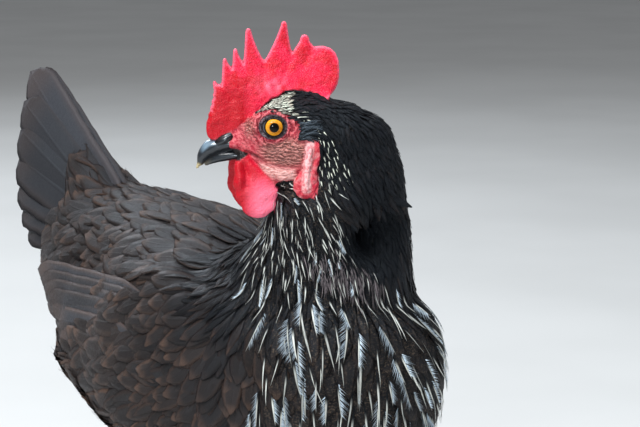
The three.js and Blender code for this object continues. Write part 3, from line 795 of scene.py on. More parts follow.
def lay(p, normals):
    """The way the feathers point, along the skin. On the head they run back from the bill, on the neck down
    and back, on the trunk away from the foot of the neck and towards the tail, on a wing along it."""
    part = shares(p)
    h = to_head(p)
    back = -AHEAD + 0.0 * p
    down = -UP + 0.0 * p
    fall = smooth_step(-6, -34, h[:, 0])[:, None]
    face = smooth_step(-2, -20, h[:, 2])[:, None]
    on_the_head = lerp(back, back * 0.35 + down, np.clip(fall + 0.45 * face, 0, 1))
    pull = np.interp(p[:, 2], [238, 262, 292, 300], [0.0, 0.22, 0.55, 0.6])[:, None]
    on_the_neck = down + back * pull
    foot = np.array([0.0, -70.0, 246.0])
    away = p - foot
    away[:, 0] *= lerp(0.55, 1.6, smooth_step(-30, 25, p[:, 0]))
    away = unit(away)
    towards_tail = np.array([0.0, 1.0, -0.12])
    reach = smooth_step(-75, 60, p[:, 1])[:, None]
    on_the_trunk = away * (1.15 - reach) + towards_tail * (0.25 + reach)
    lower = smooth_step(190, 120, p[:, 2])[:, None]
    on_the_trunk = on_the_trunk + np.array([0.0, 0.35, 0.0]) * lower
    shoulder = (smooth_step(30, 62, np.abs(p[:, 0])) * smooth_step(-55, -90, p[:, 1]))[:, None]
    on_the_trunk = on_the_trunk - UP * 0.9 * shoulder
    wing_rise = np.interp(p[:, 1], [-80, -20, 60], [-0.55, -0.3, 0.02])[:, None]
    wing_way = np.array([0.0, 1.0, 0.0]) + UP * wing_rise
    thigh_way = np.array([0.0, 0.35, -1.0])
    tail_way = np.array([0.0, 0.75, 0.62])
    way = on_the_trunk
    for name, other in (("wing", wing_way), ("thigh", thigh_way), ("tail", tail_way),
                        ("neck", on_the_neck), ("head", on_the_head)):
        way = lerp(way, other, part[name][:, None])
    way = way - dot(way, normals) * normals
    return unit(way)


def plumage(p):
    """Spacing, length, width and lift of the feathers rooted at places in the hen's frame, and how they are
    marked, all as smooth mixes of each tract's own numbers."""
    part = shares(p)
    throat = throat_share(p)
    z = p[:, 2]
    face = smooth_step(-26, -6, to_head(p)[:, 0])
    breast = smooth_step(-20, -62, p[:, 1] - 0.25 * (z - 190))
    belly = smooth_step(150, 112, z)
    rear = smooth_step(60, 118, p[:, 1])
    wing_run = np.interp(p[:, 1], [-84, -50, -10, 20], [0.0, 0.35, 0.8, 1.0])

    def mixed(trunk, at_breast, at_belly, at_rear, wing, thigh, tail, neck, head):
        value = lerp(lerp(lerp(trunk + 0 * z, at_breast, breast), at_belly, belly), at_rear, rear)
        for name, other in (("wing", wing), ("thigh", thigh), ("tail", tail), ("neck", neck), ("head", head)):
            value = lerp(value, other, part[name])
        return value

    neck_run = smooth_step(296, 238, z)
    hollow = smooth_step(2.0, 7.0, neck_hollow(p))
    above_hollow = smooth_step(0.5, 3, neck_hollow(p - [0, 0, 18]))
    overhang = swell(z - 294, 8) * above_hollow * smooth_step(16, 4, p[:, 0])
    length = mixed(31, 25, 34, 36, lerp(13, 34, wing_run), 18, 44,
                   lerp(10, 26, neck_run), lerp(8.0, 4.4, face))
    lift = mixed(2.8, 3.2, 4.6, 3.2, lerp(1.8, 4.0, wing_run), 2.4, 3.4,
                 lerp(1.7, 3.6, neck_run), lerp(1.2, 0.6, face))
    return {
        "spacing": mixed(6.0, 5.2, 7.0, 6.4, lerp(3.8, 5.8, wing_run), 3.8, 6.2,
                         lerp(2.4, 3.7, neck_run), lerp(2.0, 1.35, face)),
        "length": length * (1 - 0.45 * hollow) + 7 * overhang,
        "width": mixed(15, 14, 19, 14, lerp(8.5, 15.5, wing_run), 10, 14,
                       lerp(lerp(3.6, 7.0, neck_run), lerp(3.2, 6.0, neck_run), throat),
                       lerp(2.7, 1.7, face)),
        "lift": lift * (1 - 0.7 * hollow) + 5.0 * overhang,
        # In the neck's hollow the feathers lose their streaks and their brown, which paints the recess as
        # shade.
        "throat": throat * (1 - hollow),
        "brown": mixed(0.75, 0.6, 0.5, 0.8, 0.85, 0.5, 0.55, lerp(0.05, 0.25, neck_run), 0.0) * (1 - hollow),
        "breast": breast * (1 - part["wing"]),
        "wing": part["wing"],
        "head": part["head"],
        "neck": part["neck"],
        "hollow": hollow,
        "brow": region(to_head(p)[:, [0, 2]], BROW, 0.8) * part["head"],
    }


# ---- Vanes ----
def vane_width(run, shape):
    """A vane's half width as a share of its widest, along its run from 0 to 1. Round: the root of a sine that
    peaks past the middle. Pointed: the same, drawn in towards the tip. Quill: full soon after the root, and
    a round end."""
    if shape == "pointed":
        return np.sin(math.pi * run ** 0.72) ** 0.75 * (1 - 0.3 * run)
    if shape == "quill":
        return np.sqrt(np.clip(run * 5, 0, 1)) * np.sqrt(1 - np.clip((run - 0.84) / 0.17, 0, 0.999) ** 2)
    return np.sqrt(np.sin(math.pi * run ** 0.9))


VANE_RUN = (0.04, 0.985)  # of a vane's first and last rows of points


def vane_run(rows):
    """How far along a vane each of its rows of points lies, from 0 at the root to 1 at the tip."""
    return np.linspace(*VANE_RUN, rows)


def vane_template(rows, across):
    """The faces and flat map of one closed vane: rings of points over its top from edge to edge and one
    under its middle, and a point at each end."""
    q = np.concatenate([np.linspace(-1, 1, across), [0.0]])
    ring = len(q)
    run = vane_run(rows)
    _, _, a, b = ring_cells(rows - 1, ring)
    quads = np.stack([a, b, b + ring, a + ring], axis=1)
    j = np.arange(ring)
    following = (j + 1) % ring
    root, tip = rows * ring, rows * ring + 1
    last = (rows - 1) * ring
    triangles = np.vstack([
        np.stack([np.full(ring, root), following, j], 1),
        np.stack([np.full(ring, tip), last + j, last + following], 1)])
    u = np.concatenate([np.tile((q + 1) / 2, rows), [0.5, 0.5]])
    v = np.concatenate([np.repeat(run, ring), [0.0, 1.0]])
    return q, quads, triangles, np.stack([u, v], axis=1)


def turned_frames(path, face, rng, roll):
    """The directions ahead, outward and crossways at each point of the middle lines. Each vane is rolled a
    little about its own line."""
    ahead = unit(np.gradient(path, axis=1))
    face = unit(face - dot(face, ahead) * ahead)
    crossways = np.cross(ahead, face)
    turn = rng.normal(0, roll, (len(path), 1, 1))
    c, s = np.cos(turn), np.sin(turn)
    return ahead, face * c - crossways * s, crossways * c + face * s


def vanes(path, frames, width, height, rng, across=5, shape="round", camber=0.08, thick=0.22, ragged=0.14):
    """Closed, cambered vanes along paths, their middle lines. A point is the middle line, plus the crossways
    direction times the half width times q from -1 to 1, plus the outward one times the height and the
    camber's 1 - q squared. The edges are a little ragged. It gives each vane's points, the faces on them and
    their flat map."""
    count, rows = path.shape[:2]
    q, quads, triangles, flat = vane_template(rows, across)
    run = vane_run(rows)
    ahead, face, crossways = frames
    half = 0.5 * width[:, None] * vane_width(run, shape)[None, :]
    worn = 1 - ragged * rng.random((count, rows, 2)) * (0.4 + 1.2 * run[None, :, None])
    edge = np.where(q[None, None, :] < 0, worn[..., :1], worn[..., 1:])
    reach = half[..., None] * q * edge
    dome = camber * half[..., None] * (1 - q ** 2)
    under = np.zeros(len(q))
    under[-1] = thick
    rise = height[..., None] + dome - under
    grid = path[:, :, None] + crossways[:, :, None] * reach[..., None] + face[:, :, None] * rise[..., None]
    lifted = path + face * height[..., None]
    step = ahead[:, [0, -1]] * (0.04 * np.linalg.norm(path[:, -1] - path[:, 0], axis=1))[:, None, None]
    ends = np.stack([lifted[:, 0] - step[:, 0], lifted[:, -1] + step[:, 1]], axis=1)
    points = np.concatenate([grid.reshape(count, -1, 3), ends], axis=1)
    return points, [quads, triangles], np.tile(flat[None], (count, 1, 1))


def barbs(path, frames, width, height, rng, count, shape="round", low=0.3, long=0.36, base=0.24,
          start=(0.6, 0.85), one_side=False):
    """Loose barbs, as slim closed spikes of four faces that leave the edges of vanes. Each starts on the vane
    at a run drawn at random and between two shares of the half width, and points outwards and ahead, more and
    more ahead towards the tip. They stand on both sides, or evenly along one side drawn for each vane."""
    many, rows = path.shape[:2]
    at = np.sort(rng.uniform(low, 0.98, (many, count)), axis=1)
    if one_side:
        at = np.tile(np.linspace(low, 0.86, count), (many, 1)) + rng.normal(0, 0.008, (many, count))
    index = np.clip((at - VANE_RUN[0]) / (VANE_RUN[1] - VANE_RUN[0]), 0, 0.9999) * (rows - 1)
    whole = index.astype(int)
    part = (index - whole)[..., None]
    pick = lambda line: lerp(
        np.take_along_axis(line, whole[..., None], axis=1),
        np.take_along_axis(line, whole[..., None] + 1, axis=1), part)
    here, (ahead, face, crossways) = pick(path), (pick(line) for line in frames)
    rise = pick(height[..., None])
    half = 0.5 * width[:, None] * vane_width(at, shape)
    side = rng.choice([-1.0, 1.0], (many, 1 if one_side else count)) * np.ones((many, count))
    shift = side * half * rng.uniform(*start, side.shape)
    root = here + crossways * shift[..., None] + face * (rise + 0.05)
    loose = 3 if one_side else 9
    lean = np.radians(lerp(48, 36 if one_side else 8, at) + rng.normal(0, loose, at.shape))[..., None]
    size = (long * width[:, None] * rng.uniform(0.6, 1.15, at.shape))[..., None]
    if one_side:
        size = size * np.sin(math.pi * np.clip(at * 0.9 + 0.1, 0, 1))[..., None] ** 0.5
    way = ahead * np.cos(lean) + crossways * side[..., None] * np.sin(lean)
    tip = root + way * size + face * size * rng.normal(0.02, 0.03 if one_side else 0.10, size.shape)
    foot = ahead * base * side[..., None]
    points = np.stack([root - foot, root + foot, root - face * 0.22, tip], axis=2)
    faces = np.array([[0, 1, 2], [1, 0, 3], [2, 1, 3], [0, 2, 3]])
    faces = (faces[None] + 4 * np.arange(count)[:, None, None]).reshape(-1, 3)
    u = 0.5 + (0.1 if one_side else 0.44) * side
    v = 0.6 + 0.2 * at if one_side else at
    flat = np.repeat(np.stack([u, v], axis=2), 4, axis=1)
    return points.reshape(many, -1, 3), [faces], flat


def together(first, second):
    """Two sets of parts of the same feathers as one set."""
    size = first[0].shape[1]
    parts = first[1] + [part + size for part in second[1]]
    return np.concatenate([first[0], second[0]], axis=1), parts, np.concatenate([first[2], second[2]], axis=1)


OFBAKE_PATCH = 0.003
BODY_AXIS = 205  # height of the line that the baking map is unwrapped round
BODY_LENGTH = 420
PARTING = np.array([[-25.0, -102, 262], [-18, -108, 255], [-9, -113, 248]])  # across the foot of the neck


def feather_mesh(name, made, roots, marks):
    """One mesh of many vanes, with a flat map of each vane, the small map used for baking, and each vane's
    marks on all its points. In the baking map a vane is a small patch at its root's place on an unwrap of
    the body: the bearing round the body's length, and the distance along it."""
    points, parts, flat = made
    count, size = points.shape[:2]
    starts = (np.arange(count) * size)[:, None, None]
    above = roots[:, 2] - BODY_AXIS
    round_it = np.arctan2(roots[:, 0], above) / (2 * math.pi) + 0.5
    along = (roots[:, 1] + 0.6 * above) / BODY_LENGTH + 0.5
    unwrap = np.stack([round_it, along], axis=1)
    low, high = unwrap.min(0), unwrap.max(0)
    unwrap = 0.01 + 0.98 * (unwrap - low) / np.maximum(high - low, 1e-6)
    faces, maps = [], []
    for part in parts:
        corner = flat[:, part]
        baking = unwrap[:, None, None, :] + OFBAKE_PATCH * (corner - 0.5)
        faces.append((part[None] + starts).reshape(-1, part.shape[1]))
        maps.append((corner.reshape(-1, part.shape[1], 2), baking.reshape(-1, part.shape[1], 2)))
    shell = Shell(points.reshape(-1, 3), faces, maps)
    return mesh_of(name, shell, layers=("Vane", "OFBake"), colours={"Marks": np.repeat(marks, size, axis=0)})


class Hide:
    """The finished skin as arrays: its points, normals and triangles, and a tree for nearest places."""

    def __init__(self, mesh):
        self.points = points_of(mesh)
        self.normals = normals_of(mesh)
        self.triangles = triangles_of(mesh)
        self.tree = BVHTree.FromPolygons(self.points.tolist(), self.triangles.tolist())

    def nearest(self, places):
        """The nearest place on the skin to each place, and the smooth normal there."""
        found = [self.tree.find_nearest(place) for place in places.tolist()]
        spots = np.array([hit[0] for hit in found])
        corners = self.triangles[[hit[2] for hit in found]]
        away = np.linalg.norm(self.points[corners] - spots[:, None], axis=2)
        weight = 1 / np.maximum(away, 0.05)
        normals = np.sum(self.normals[corners] * weight[..., None], axis=1)
        return spots, unit(normals)

    def scatter(self, count, rng):
        """Places spread evenly over the skin by area: a random triangle, then a random place on it."""
        a, b, c = (self.points[self.triangles[:, k]] for k in range(3))
        area = np.linalg.norm(np.cross(b - a, c - a), axis=1)
        pick = rng.choice(len(area), count, p=area / area.sum())
        s, t = np.sqrt(rng.random((count, 1))), rng.random((count, 1))
        places = (1 - s) * a[pick] + s * (1 - t) * b[pick] + s * t * c[pick]
        corner_normals = self.normals[self.triangles[pick]]
        return places, unit(corner_normals.mean(axis=1))


SEEDS = {"coat": 20, "streaks": 12, "hairs": 7, "quills": 31}
TRIED = {"coat": 190000, "streaks": 60000, "down": 220000, "hairs": 200000}  # places scattered for each


def begun(name):
    """A stream of random draws from an operator's own seed, and the finished skin."""
    return np.random.default_rng(SEEDS[name]), Hide(bpy.data.objects["skin"].data)


def thinned(places, spacing, rng):
    """The indexes of places kept so that none lies closer to a kept one than its own spacing."""
    tree = KDTree(len(places))
    for index, place in enumerate(places.tolist()):
        tree.insert(place, index)
    tree.balance()
    free = np.ones(len(places), bool)
    kept = []
    for index in rng.permutation(len(places)).tolist():
        if free[index]:
            kept.append(index)
            near = [hit[1] for hit in tree.find_range(places[index], spacing[index])]
            free[near] = False
    return np.array(kept)


def sown(places, normals, chance, spacing, rng):
    """Places kept with their own chances and then thinned to their own spacings, and their normals."""
    keep = np.flatnonzero(rng.random(len(places)) < chance)
    keep = keep[thinned(places[keep], (spacing + 0 * chance)[keep], rng)]
    return places[keep], normals[keep]


def followed(hide, roots, normals, length, rows, rng):
    """Middle lines for vanes: from each root, steps along the lay of the plumage, each put back on the skin.
    Each line keeps a small turn, partly its own and partly shared with the lines round it, which grows a
    little along it."""
    turn = (rng.normal(0, 0.08, len(roots)) + 0.12 * waves(roots, 34, 51))[:, None]
    bend = rng.normal(0, 0.03, len(roots))[:, None]
    path, face = [roots], [normals]
    for _ in range(rows - 1):
        turn = turn + bend
        way = lay(path[-1], face[-1])
        way = way * np.cos(turn) + np.cross(face[-1], way) * np.sin(turn)
        ahead = path[-1] + way * (length / (rows - 1))[:, None]
        spots, spot_normals = hide.nearest(ahead)
        path.append(spots)
        face.append(unit(lerp(face[-1], spot_normals, 0.7)))
    return np.stack(path, axis=1), np.stack(face, axis=1)


# ---- Operators' shared settings ----
class HenSizes(bpy.types.PropertyGroup):
    """Sizes that a maker may change."""

    iris: FloatProperty(
        name="Iris radius", description="Radius of each eye's coloured part", default=0.0043, unit="LENGTH")
    pupil: FloatProperty(
        name="Pupil radius", description="Radius of each eye's pupil", default=0.0022, unit="LENGTH")
    coat: FloatProperty(
        name="Coat depth", description="How far the skin lies under the plumage's outline", default=0.005,
        unit="LENGTH")
    thickness: FloatProperty(
        name="Plumage", description="Share of the feathers that are made", default=1.0, min=0.1, max=1.0,
        subtype="FACTOR")


class HenColours(bpy.types.PropertyGroup):
    """Colours that a maker may change."""

    black: FloatVectorProperty(
        name="Black", description="Darkest feathers", default=(0.0042, 0.0042, 0.0048), subtype="COLOR")
    brown: FloatVectorProperty(
        name="Brown", description="Back and wings", default=(0.0175, 0.0118, 0.0092), subtype="COLOR")
    edge: FloatVectorProperty(
        name="Edges", description="Edges of brown feathers", default=(0.105, 0.06, 0.04), subtype="COLOR")
    red: FloatVectorProperty(
        name="Comb", description="Comb and wattles", default=(0.78, 0.010, 0.052), subtype="COLOR")
    face: FloatVectorProperty(
        name="Face", description="Bare skin of the face", default=(0.43, 0.022, 0.046), subtype="COLOR")
    pale: FloatVectorProperty(
        name="Ear lobe", description="Palest bare skin", default=(0.78, 0.42, 0.42), subtype="COLOR")
    iris: FloatVectorProperty(
        name="Iris", description="Iris of each eye", default=(0.80, 0.33, 0.012), subtype="COLOR")
    horn: FloatVectorProperty(
        name="Horn", description="Bill and claws", default=(0.008, 0.009, 0.011), subtype="COLOR")
    legs: FloatVectorProperty(
        name="Legs", description="Scales of shanks and toes", default=(0.075, 0.078, 0.083), subtype="COLOR")


def colour(name):
    return tuple(getattr(bpy.context.scene.hen_colours, name))


# ---- Skin ----
def skin_material():
    """Bare red skin with pimples, a wrinkled face, pale lobes, dark lids, and dark down under the coat. Light
    and shade are painted in too: a deeper red low at the front of comb and wattles, pale spots on the
    pimples' tops, pink highlights, a dark line along the gape, and lighter ridges and darker grooves on the
    face's wrinkles.
    """
    paint = Paint("hen skin")
    step, times, plus = paint.step, paint.times, paint.plus
    red, pale, lid, down = paint.channels("Hide")
    # The fourth number of the second attribute is a painted highlight, pale pink where light catches comb and
    # wattles.
    cheek, gape_shade_and_dark_corner, strip, painted_highlight = paint.channels("Creases")
    place = paint.attribute("Place").outputs["Vector"]
    grain = paint.noise(place, 0.55, 3.0, 0.6)
    # The pale spots laid on the comb from these cells are painted highlights on the pimples' tops; the cells
    # also shape the bump.
    pimples = paint.cells(place, 1.2)
    fine = paint.cells(place, 1.9)
    blotch = paint.noise(place, 0.11, 2.0)
    spot = paint.node("SeparateXYZ", {0: place})
    # A painted shade: the comb's front low down and the wattles' front are laid over with a deeper red.
    front = times(step(spot.outputs[0], 4.0, 18.0, 0.0, 0.9), step(spot.outputs[2], 30, 16))
    comb = paint.layered(
        colour("red"), (step(blotch, 0.38, 0.64), (0.56, 0.004, 0.016)),
        (step(pimples, 0.62, 0.1, 0.0, 0.22), (0.98, 0.15, 0.24)), (front, (0.42, 0.0010, 0.008)),
        (step(grain, 0.60, 0.78, 0.0, 0.22), (0.36, 0.002, 0.012)), (painted_highlight, (0.95, 0.19, 0.29)))
    # The wrinkles round the eye and the level lines on the cheek are painted light and shade as well as
    # bumps: their grooves are laid over darker and the rings' ridges lighter.
    from_eye = paint.node("VectorMath", {0: paint.stretch(place, (1.0, 0.0, 1.0)), 1: (EYE[0], 0.0, EYE[2])},
                          operation="DISTANCE").outputs["Value"]
    ringed = plus(from_eye, times(paint.noise(place, 0.22, 3.0, 0.55), 8.0))
    ringed = paint.math("SINE", times(ringed, 2 * math.pi / 2.7))
    ringed = times(ringed, step(from_eye, 15.0, 9.5, 0.35, 1.0))
    bristle_place = paint.stretch(place, (0.38, 1.2, 2.6), (0.0, 0.35, 0.0))
    bristles = paint.noise(bristle_place, 0.9, 3.0, 0.65)
    level = paint.node("SeparateXYZ", {0: bristle_place}).outputs[2]
    level = plus(level, times(paint.noise(place, 0.20, 3.0, 0.55), 13.0))
    level = paint.math("SINE", times(level, 2 * math.pi / 4.4))
    brown = paint.layered(
        (0.13, 0.034, 0.028), (step(bristles, 0.40, 0.60), (0.56, 0.225, 0.195)),
        (step(level, -0.1, -1.0, 0.0, 0.75), (0.07, 0.016, 0.015)))
    pale_strip = paint.mix(step(bristles, 0.36, 0.54), (0.50, 0.17, 0.15), (0.90, 0.52, 0.48))
    lobe = paint.mix(step(grain, 0.42, 0.64), colour("pale"), (0.62, 0.16, 0.18))
    lids = paint.layered(
        (0.038, 0.029, 0.036), (step(grain, 0.4, 0.65), (0.165, 0.130, 0.150)),
        (step(from_eye, 6.2, 5.3), (0.008, 0.007, 0.008)))
    skin = paint.layered(
        colour("face"), (step(grain, 0.38, 0.64), (0.66, 0.130, 0.150)),
        (step(fine, 0.25, 0.6, 0.0, 0.35), (0.26, 0.016, 0.026)),
        (step(ringed, -0.1, -0.9, 0.0, 0.85), (0.17, 0.008, 0.018)),
        (step(ringed, 0.1, 1.0, 0.0, 0.55), (0.82, 0.24, 0.25)), (cheek, brown), (strip, pale_strip),
        # Near black along the gape: painted shade, with the mouth's corner dark as horn.
        (gape_shade_and_dark_corner, (0.009, 0.007, 0.007)), (red, comb), (pale, lobe), (lid, lids),
        (down, (0.008, 0.0065, 0.006)))
    wrinkles = paint.mix(cheek, times(ringed, 1.1), times(level, 0.7))
    bare = paint.math("SUBTRACT", 1.0, paint.math("MAXIMUM", red, pale))
    height = plus(times(pimples, -0.7), times(fine, -0.35))
    height = plus(plus(height, times(grain, 0.4)), times(wrinkles, bare))
    paint.set(
        Base_Color=skin, Roughness=step(grain, 0.3, 0.7, 0.34, 0.50), Specular_IOR_Level=0.28,
        Subsurface_Weight=0.15, Subsurface_Radius=(0.0020, 0.0006, 0.0005), Subsurface_Scale=1.0,
        Normal=paint.bump(height, 0.0004, 0.85))
    return paint.material


def skin_colours(p):
    """The share of each kind of skin at each point of the hide, as two sets of four numbers. The second set
    also holds a painted shade along the gape and painted highlights on comb and wattles.
    """
    h = to_head(p)
    comb, wattle, lobe, bare, eye = face_masks(h)
    side = h[:, [0, 2]]
    on_head_part = smooth_step(262, 272, p[:, 2]) * (p[:, 1] < 0)
    comb = comb * on_head_part
    ridge_line = np.array(LOBE_RIDGE_ROWS)[:, [0, 2]]
    lobe_ridge = lobe * smooth_step(3.0, 1.4, distance_to_line(side, ridge_line) + 0.25 * waves(h, 4, 17))
    lobe_ridge = np.maximum(lobe_ridge, lobe * 0.35 * smooth_step(0.1, 0.6, waves(h, 5, 19)))
    red = np.maximum(comb, np.maximum(wattle, lobe * (1 - lobe_ridge) * 0.35)) * on_head_part
    flesh = np.clip(bare + comb + wattle + lobe, 0, 1) * on_head_part
    oval = np.hypot(h[:, 0] - EYE[0] - 0.5, (h[:, 2] - EYE[2]) * 1.17)
    lid = smooth_step(7.6, 7.0, oval) * bare
    cheek = smooth_step(17, 8, np.hypot(h[:, 0] + 5, (h[:, 2] + 11) * 1.7)) * bare * (1 - wattle)
    cheek = cheek * smooth_step(7.6, 9.0, eye)
    lores = swell(h[:, 0] - 12.8, 2.8) * swell(h[:, 2] - 0.8, 5) * bare * 0.95
    # A painted shade along the gape's crease, and the mouth's corner black like the bill's horn.
    gape_shade_and_dark_corner = 0.6 * swell(distance_to_line(side, GAPE), 0.8) * (1 - wattle) * smooth_step(5.5, 9, h[:, 0])
    corner = region(side, MOUTH_CORNER, 0.5)
    gape_shade_and_dark_corner = np.maximum(gape_shade_and_dark_corner, corner) * bare
    strip = region(side, CHEEK_STRIP, 1.6) * bare * (1 - wattle) * (1 - lobe) * 0.9
    # Painted highlights: pale pink on the wattles' lower part, along the comb's rim above the head and at the
    # middle of the comb's foot.
    low = wattle * smooth_step(-20, -34, h[:, 2]) * smooth_step(17, 7, h[:, 0])
    rim = comb * smooth_step(1.6, 0.2, distance_to_edge(side, COMB)) * (h[:, 2] > 8)
    base = comb * swell(h[:, 0] - 1, 7) * swell(h[:, 2] - 21, 4)
    painted_highlight = np.clip(0.9 * low + 0.65 * rim + 0.5 * base * (1 + waves(h, 6, 23)), 0, 1)
    hide = np.stack([red * (1 - corner), lobe_ridge * on_head_part, lid, 1 - flesh], axis=1)
    creases = np.stack([np.clip(cheek + lores, 0, 1), gape_shade_and_dark_corner, strip, painted_highlight], axis=1)
    return hide, creases, h


LID_PROFILE = [
    # outwards from the opening's edge, rise over the face, thickness over the eyeball
    [-0.25, -2.6, -0.5], [-0.1, -1.9, -0.15], [0.0, -1.3, 0.2], [0.12, -0.75, 0.45], [0.3, -0.25, 0.6],
    [0.6, 0.15, 0.62], [1.0, 0.4, 0.55], [1.35, 0.42, 0.45], [1.6, 0.2, 0.2], [1.8, -0.15, 0], [2.05, 0.0, 0],
    [2.4, 0.32, 0], [2.8, 0.42, 0], [3.3, 0.3, 0], [3.9, -0.05, -0.2], [4.4, -0.7, -1], [4.6, -1.6, -2],
    [2.0, -4.0, -4],
]


LID_OPENING = (5.35, 4.1, 4.25)  # half width, and half height above the middle and below it


def lid_ring(s):
    """The lids as one ring round the eye: a profile of steps outwards from the edge of an oval opening,
    carried round it. A point's reach from the head's middle plane is the larger of the eyeball's own plus the
    lid's thickness, and of the face's plus the profile."""
    out, rise, thick = np.array(LID_PROFILE).T
    turn = np.linspace(0, 2 * math.pi, 112, endpoint=False)[None, :]
    d = out[:, None]
    half_width, over, under = LID_OPENING
    x = EYE[0] + 0.6 + (half_width + d) * np.cos(turn)
    z = EYE[2] - 0.05 + (np.where(np.sin(turn) > 0, over, under) + d * 1.02) * np.sin(turn)
    radius = np.hypot(x - EYE[0], z - EYE[2])
    ball = EYE[1] + np.sqrt(np.clip((EYEBALL + 0.12) ** 2 - radius ** 2, 0, None)) + thick[:, None]
    face = EYE_REACH + rise[:, None]
    creases = 0.1 * np.sin(13 * turn + 3 * np.sin(turn)) * swell(d - 0.9, 0.5)
    creases = creases + 0.16 * np.sin(19 * turn + 1.3) * swell(d - 2.9, 0.8)
    reach = np.logaddexp(ball * 3, face * 3) / 3 + creases
    reach[-1] = 8.2
    grid = np.stack([x, s * reach, z], axis=2)
    rings, sides = grid.shape[:2]
    i, j, a, b = ring_cells(rings, sides)
    down = (i + 1) % rings * sides
    quads = np.stack([a, b, down + (j + 1) % sides, down + j], axis=1)
    return Shell(on_head(grid.reshape(-1, 3)), [quads if s < 0 else quads[:, ::-1]])


def melted(name, shells, grain, rounds):
    """Overlapping shells as one skin: remade on cubes of that many millimetres, then smoothed."""
    return worked(
        mesh_of(name, joined(shells)), ("REMESH", {"mode": "VOXEL", "voxel_size": grain * MM}),
        ("SMOOTH", {"factor": 0.5, "iterations": rounds}))


class HEN_OT_skin(bpy.types.Operator):
    """Makes the one skin of the hen, with comb, wattles, ear lobes and lids"""

    bl_idname = "hen.skin"
    bl_label = "Skin"

    def execute(self, context):
        body = melted("rough body", body_shells(context.scene.hen_sizes.coat / MM), 2.8, 6)
        points = points_of(body)
        set_points(body, points - normals_of(body) * neck_hollow(points)[:, None])
        head = melted("rough head", [shell.moved(on_head) for shell in head_shells()], 0.62, 3)
        shaped = head_detail(to_head(points_of(head)), normals_of(head) @ HEAD_FRAME.T)
        set_points(head, on_head(shaped))
        other = linked("rough body", body)
        one = worked(head, ("BOOLEAN", {"operation": "UNION", "solver": "MANIFOLD", "object": other}))
        bpy.data.objects.remove(other)
        whole = joined([Shell(points_of(one), [triangles_of(one)]), lid_ring(1), lid_ring(-1)])
        hide, creases, place = skin_colours(whole.points)
        mesh = mesh_of("skin", whole, colours={"Hide": hide, "Creases": creases}, vectors={"Place": place})
        nodes = ["trunk", "neck_lower", "neck_upper", "head", "comb"]
        nodes += [f"{part}_{side}" for part in ("wattle", "earlobe", "thigh") for side, _ in SIDES]
        shown(mesh, skin_material(), "red_skin", *nodes)
        return {"FINISHED"}


# ---- Eyes ----
def eye_material():
    """A black pupil, an orange iris with fine rays and a dark rim, and grey beyond, under a wet coat. The
    flat map's second number is the angle from the eye's axis, as a share of half a turn."""
    paint = Paint("hen eye")
    _, away = paint.flat_map("Along")
    place = paint.object_place()
    rays = paint.noise(place, 2600, 3.0, 0.6)
    sizes = bpy.context.scene.hen_sizes
    pupil, iris = (math.degrees(math.asin(r / MM / EYEBALL)) / 180 for r in (sizes.pupil, sizes.iris))
    outer = paint.mix(paint.step(away, iris + 0.02, iris + 0.09), (0.006, 0.006, 0.007), (0.16, 0.16, 0.18))
    whole = paint.layered(
        (0.42, 0.12, 0.008), (paint.step(away, pupil, iris), colour("iris")),
        (paint.step(rays, 0.4, 0.65, 0.0, 0.5), (0.95, 0.52, 0.05)),
        (paint.step(away, iris * 0.86, iris), (0.06, 0.018, 0.006)),
        (paint.step(away, iris - 0.004, iris + 0.006), outer),
        (paint.step(away, pupil + 0.006, pupil - 0.006), (0.001, 0.001, 0.001)))
    paint.set(Base_Color=whole, Roughness=0.5, Specular_IOR_Level=0.03, Coat_Weight=1.0, Coat_Roughness=0.02,
              Coat_IOR=1.22)
    return paint.material


def eye_shell(s):
    """An eyeball with a cornea: rings at angles from the axis, at the ball's radius plus a low dome."""
    away = np.linspace(0.03, math.pi - 0.03, 48)
    turn = np.linspace(0, 2 * math.pi, 64, endpoint=False)
    radius = EYEBALL + 0.55 * smooth_step(0.95, 0.35, away)
    sideways = np.cos(away) * radius
    wide = np.sin(away) * radius
    x = EYE[0] + wide[:, None] * np.cos(turn)
    z = EYE[2] + wide[:, None] * np.sin(turn)
    y = s * (EYE[1] + np.repeat(sideways[:, None], len(turn), axis=1))
    ends = np.array([[EYE[0], s * (EYE[1] + radius[0]), EYE[2]], [EYE[0], s * (EYE[1] - EYEBALL), EYE[2]]])
    shell = closed_grid(np.stack([x, y, z], axis=2), ends, away / math.pi * 10)
    return (shell.turned_over() if s > 0 else shell).moved(on_head)


class HEN_OT_eyes(bpy.types.Operator):
    """Makes both eyes"""

    bl_idname = "hen.eyes"
    bl_label = "Eyes"

    def execute(self, context):
        material = eye_material()
        for side, s in SIDES:
            shown(mesh_of("eyeball_" + side, eye_shell(s)), material, "eye", "eye_" + side)
        return {"FINISHED"}


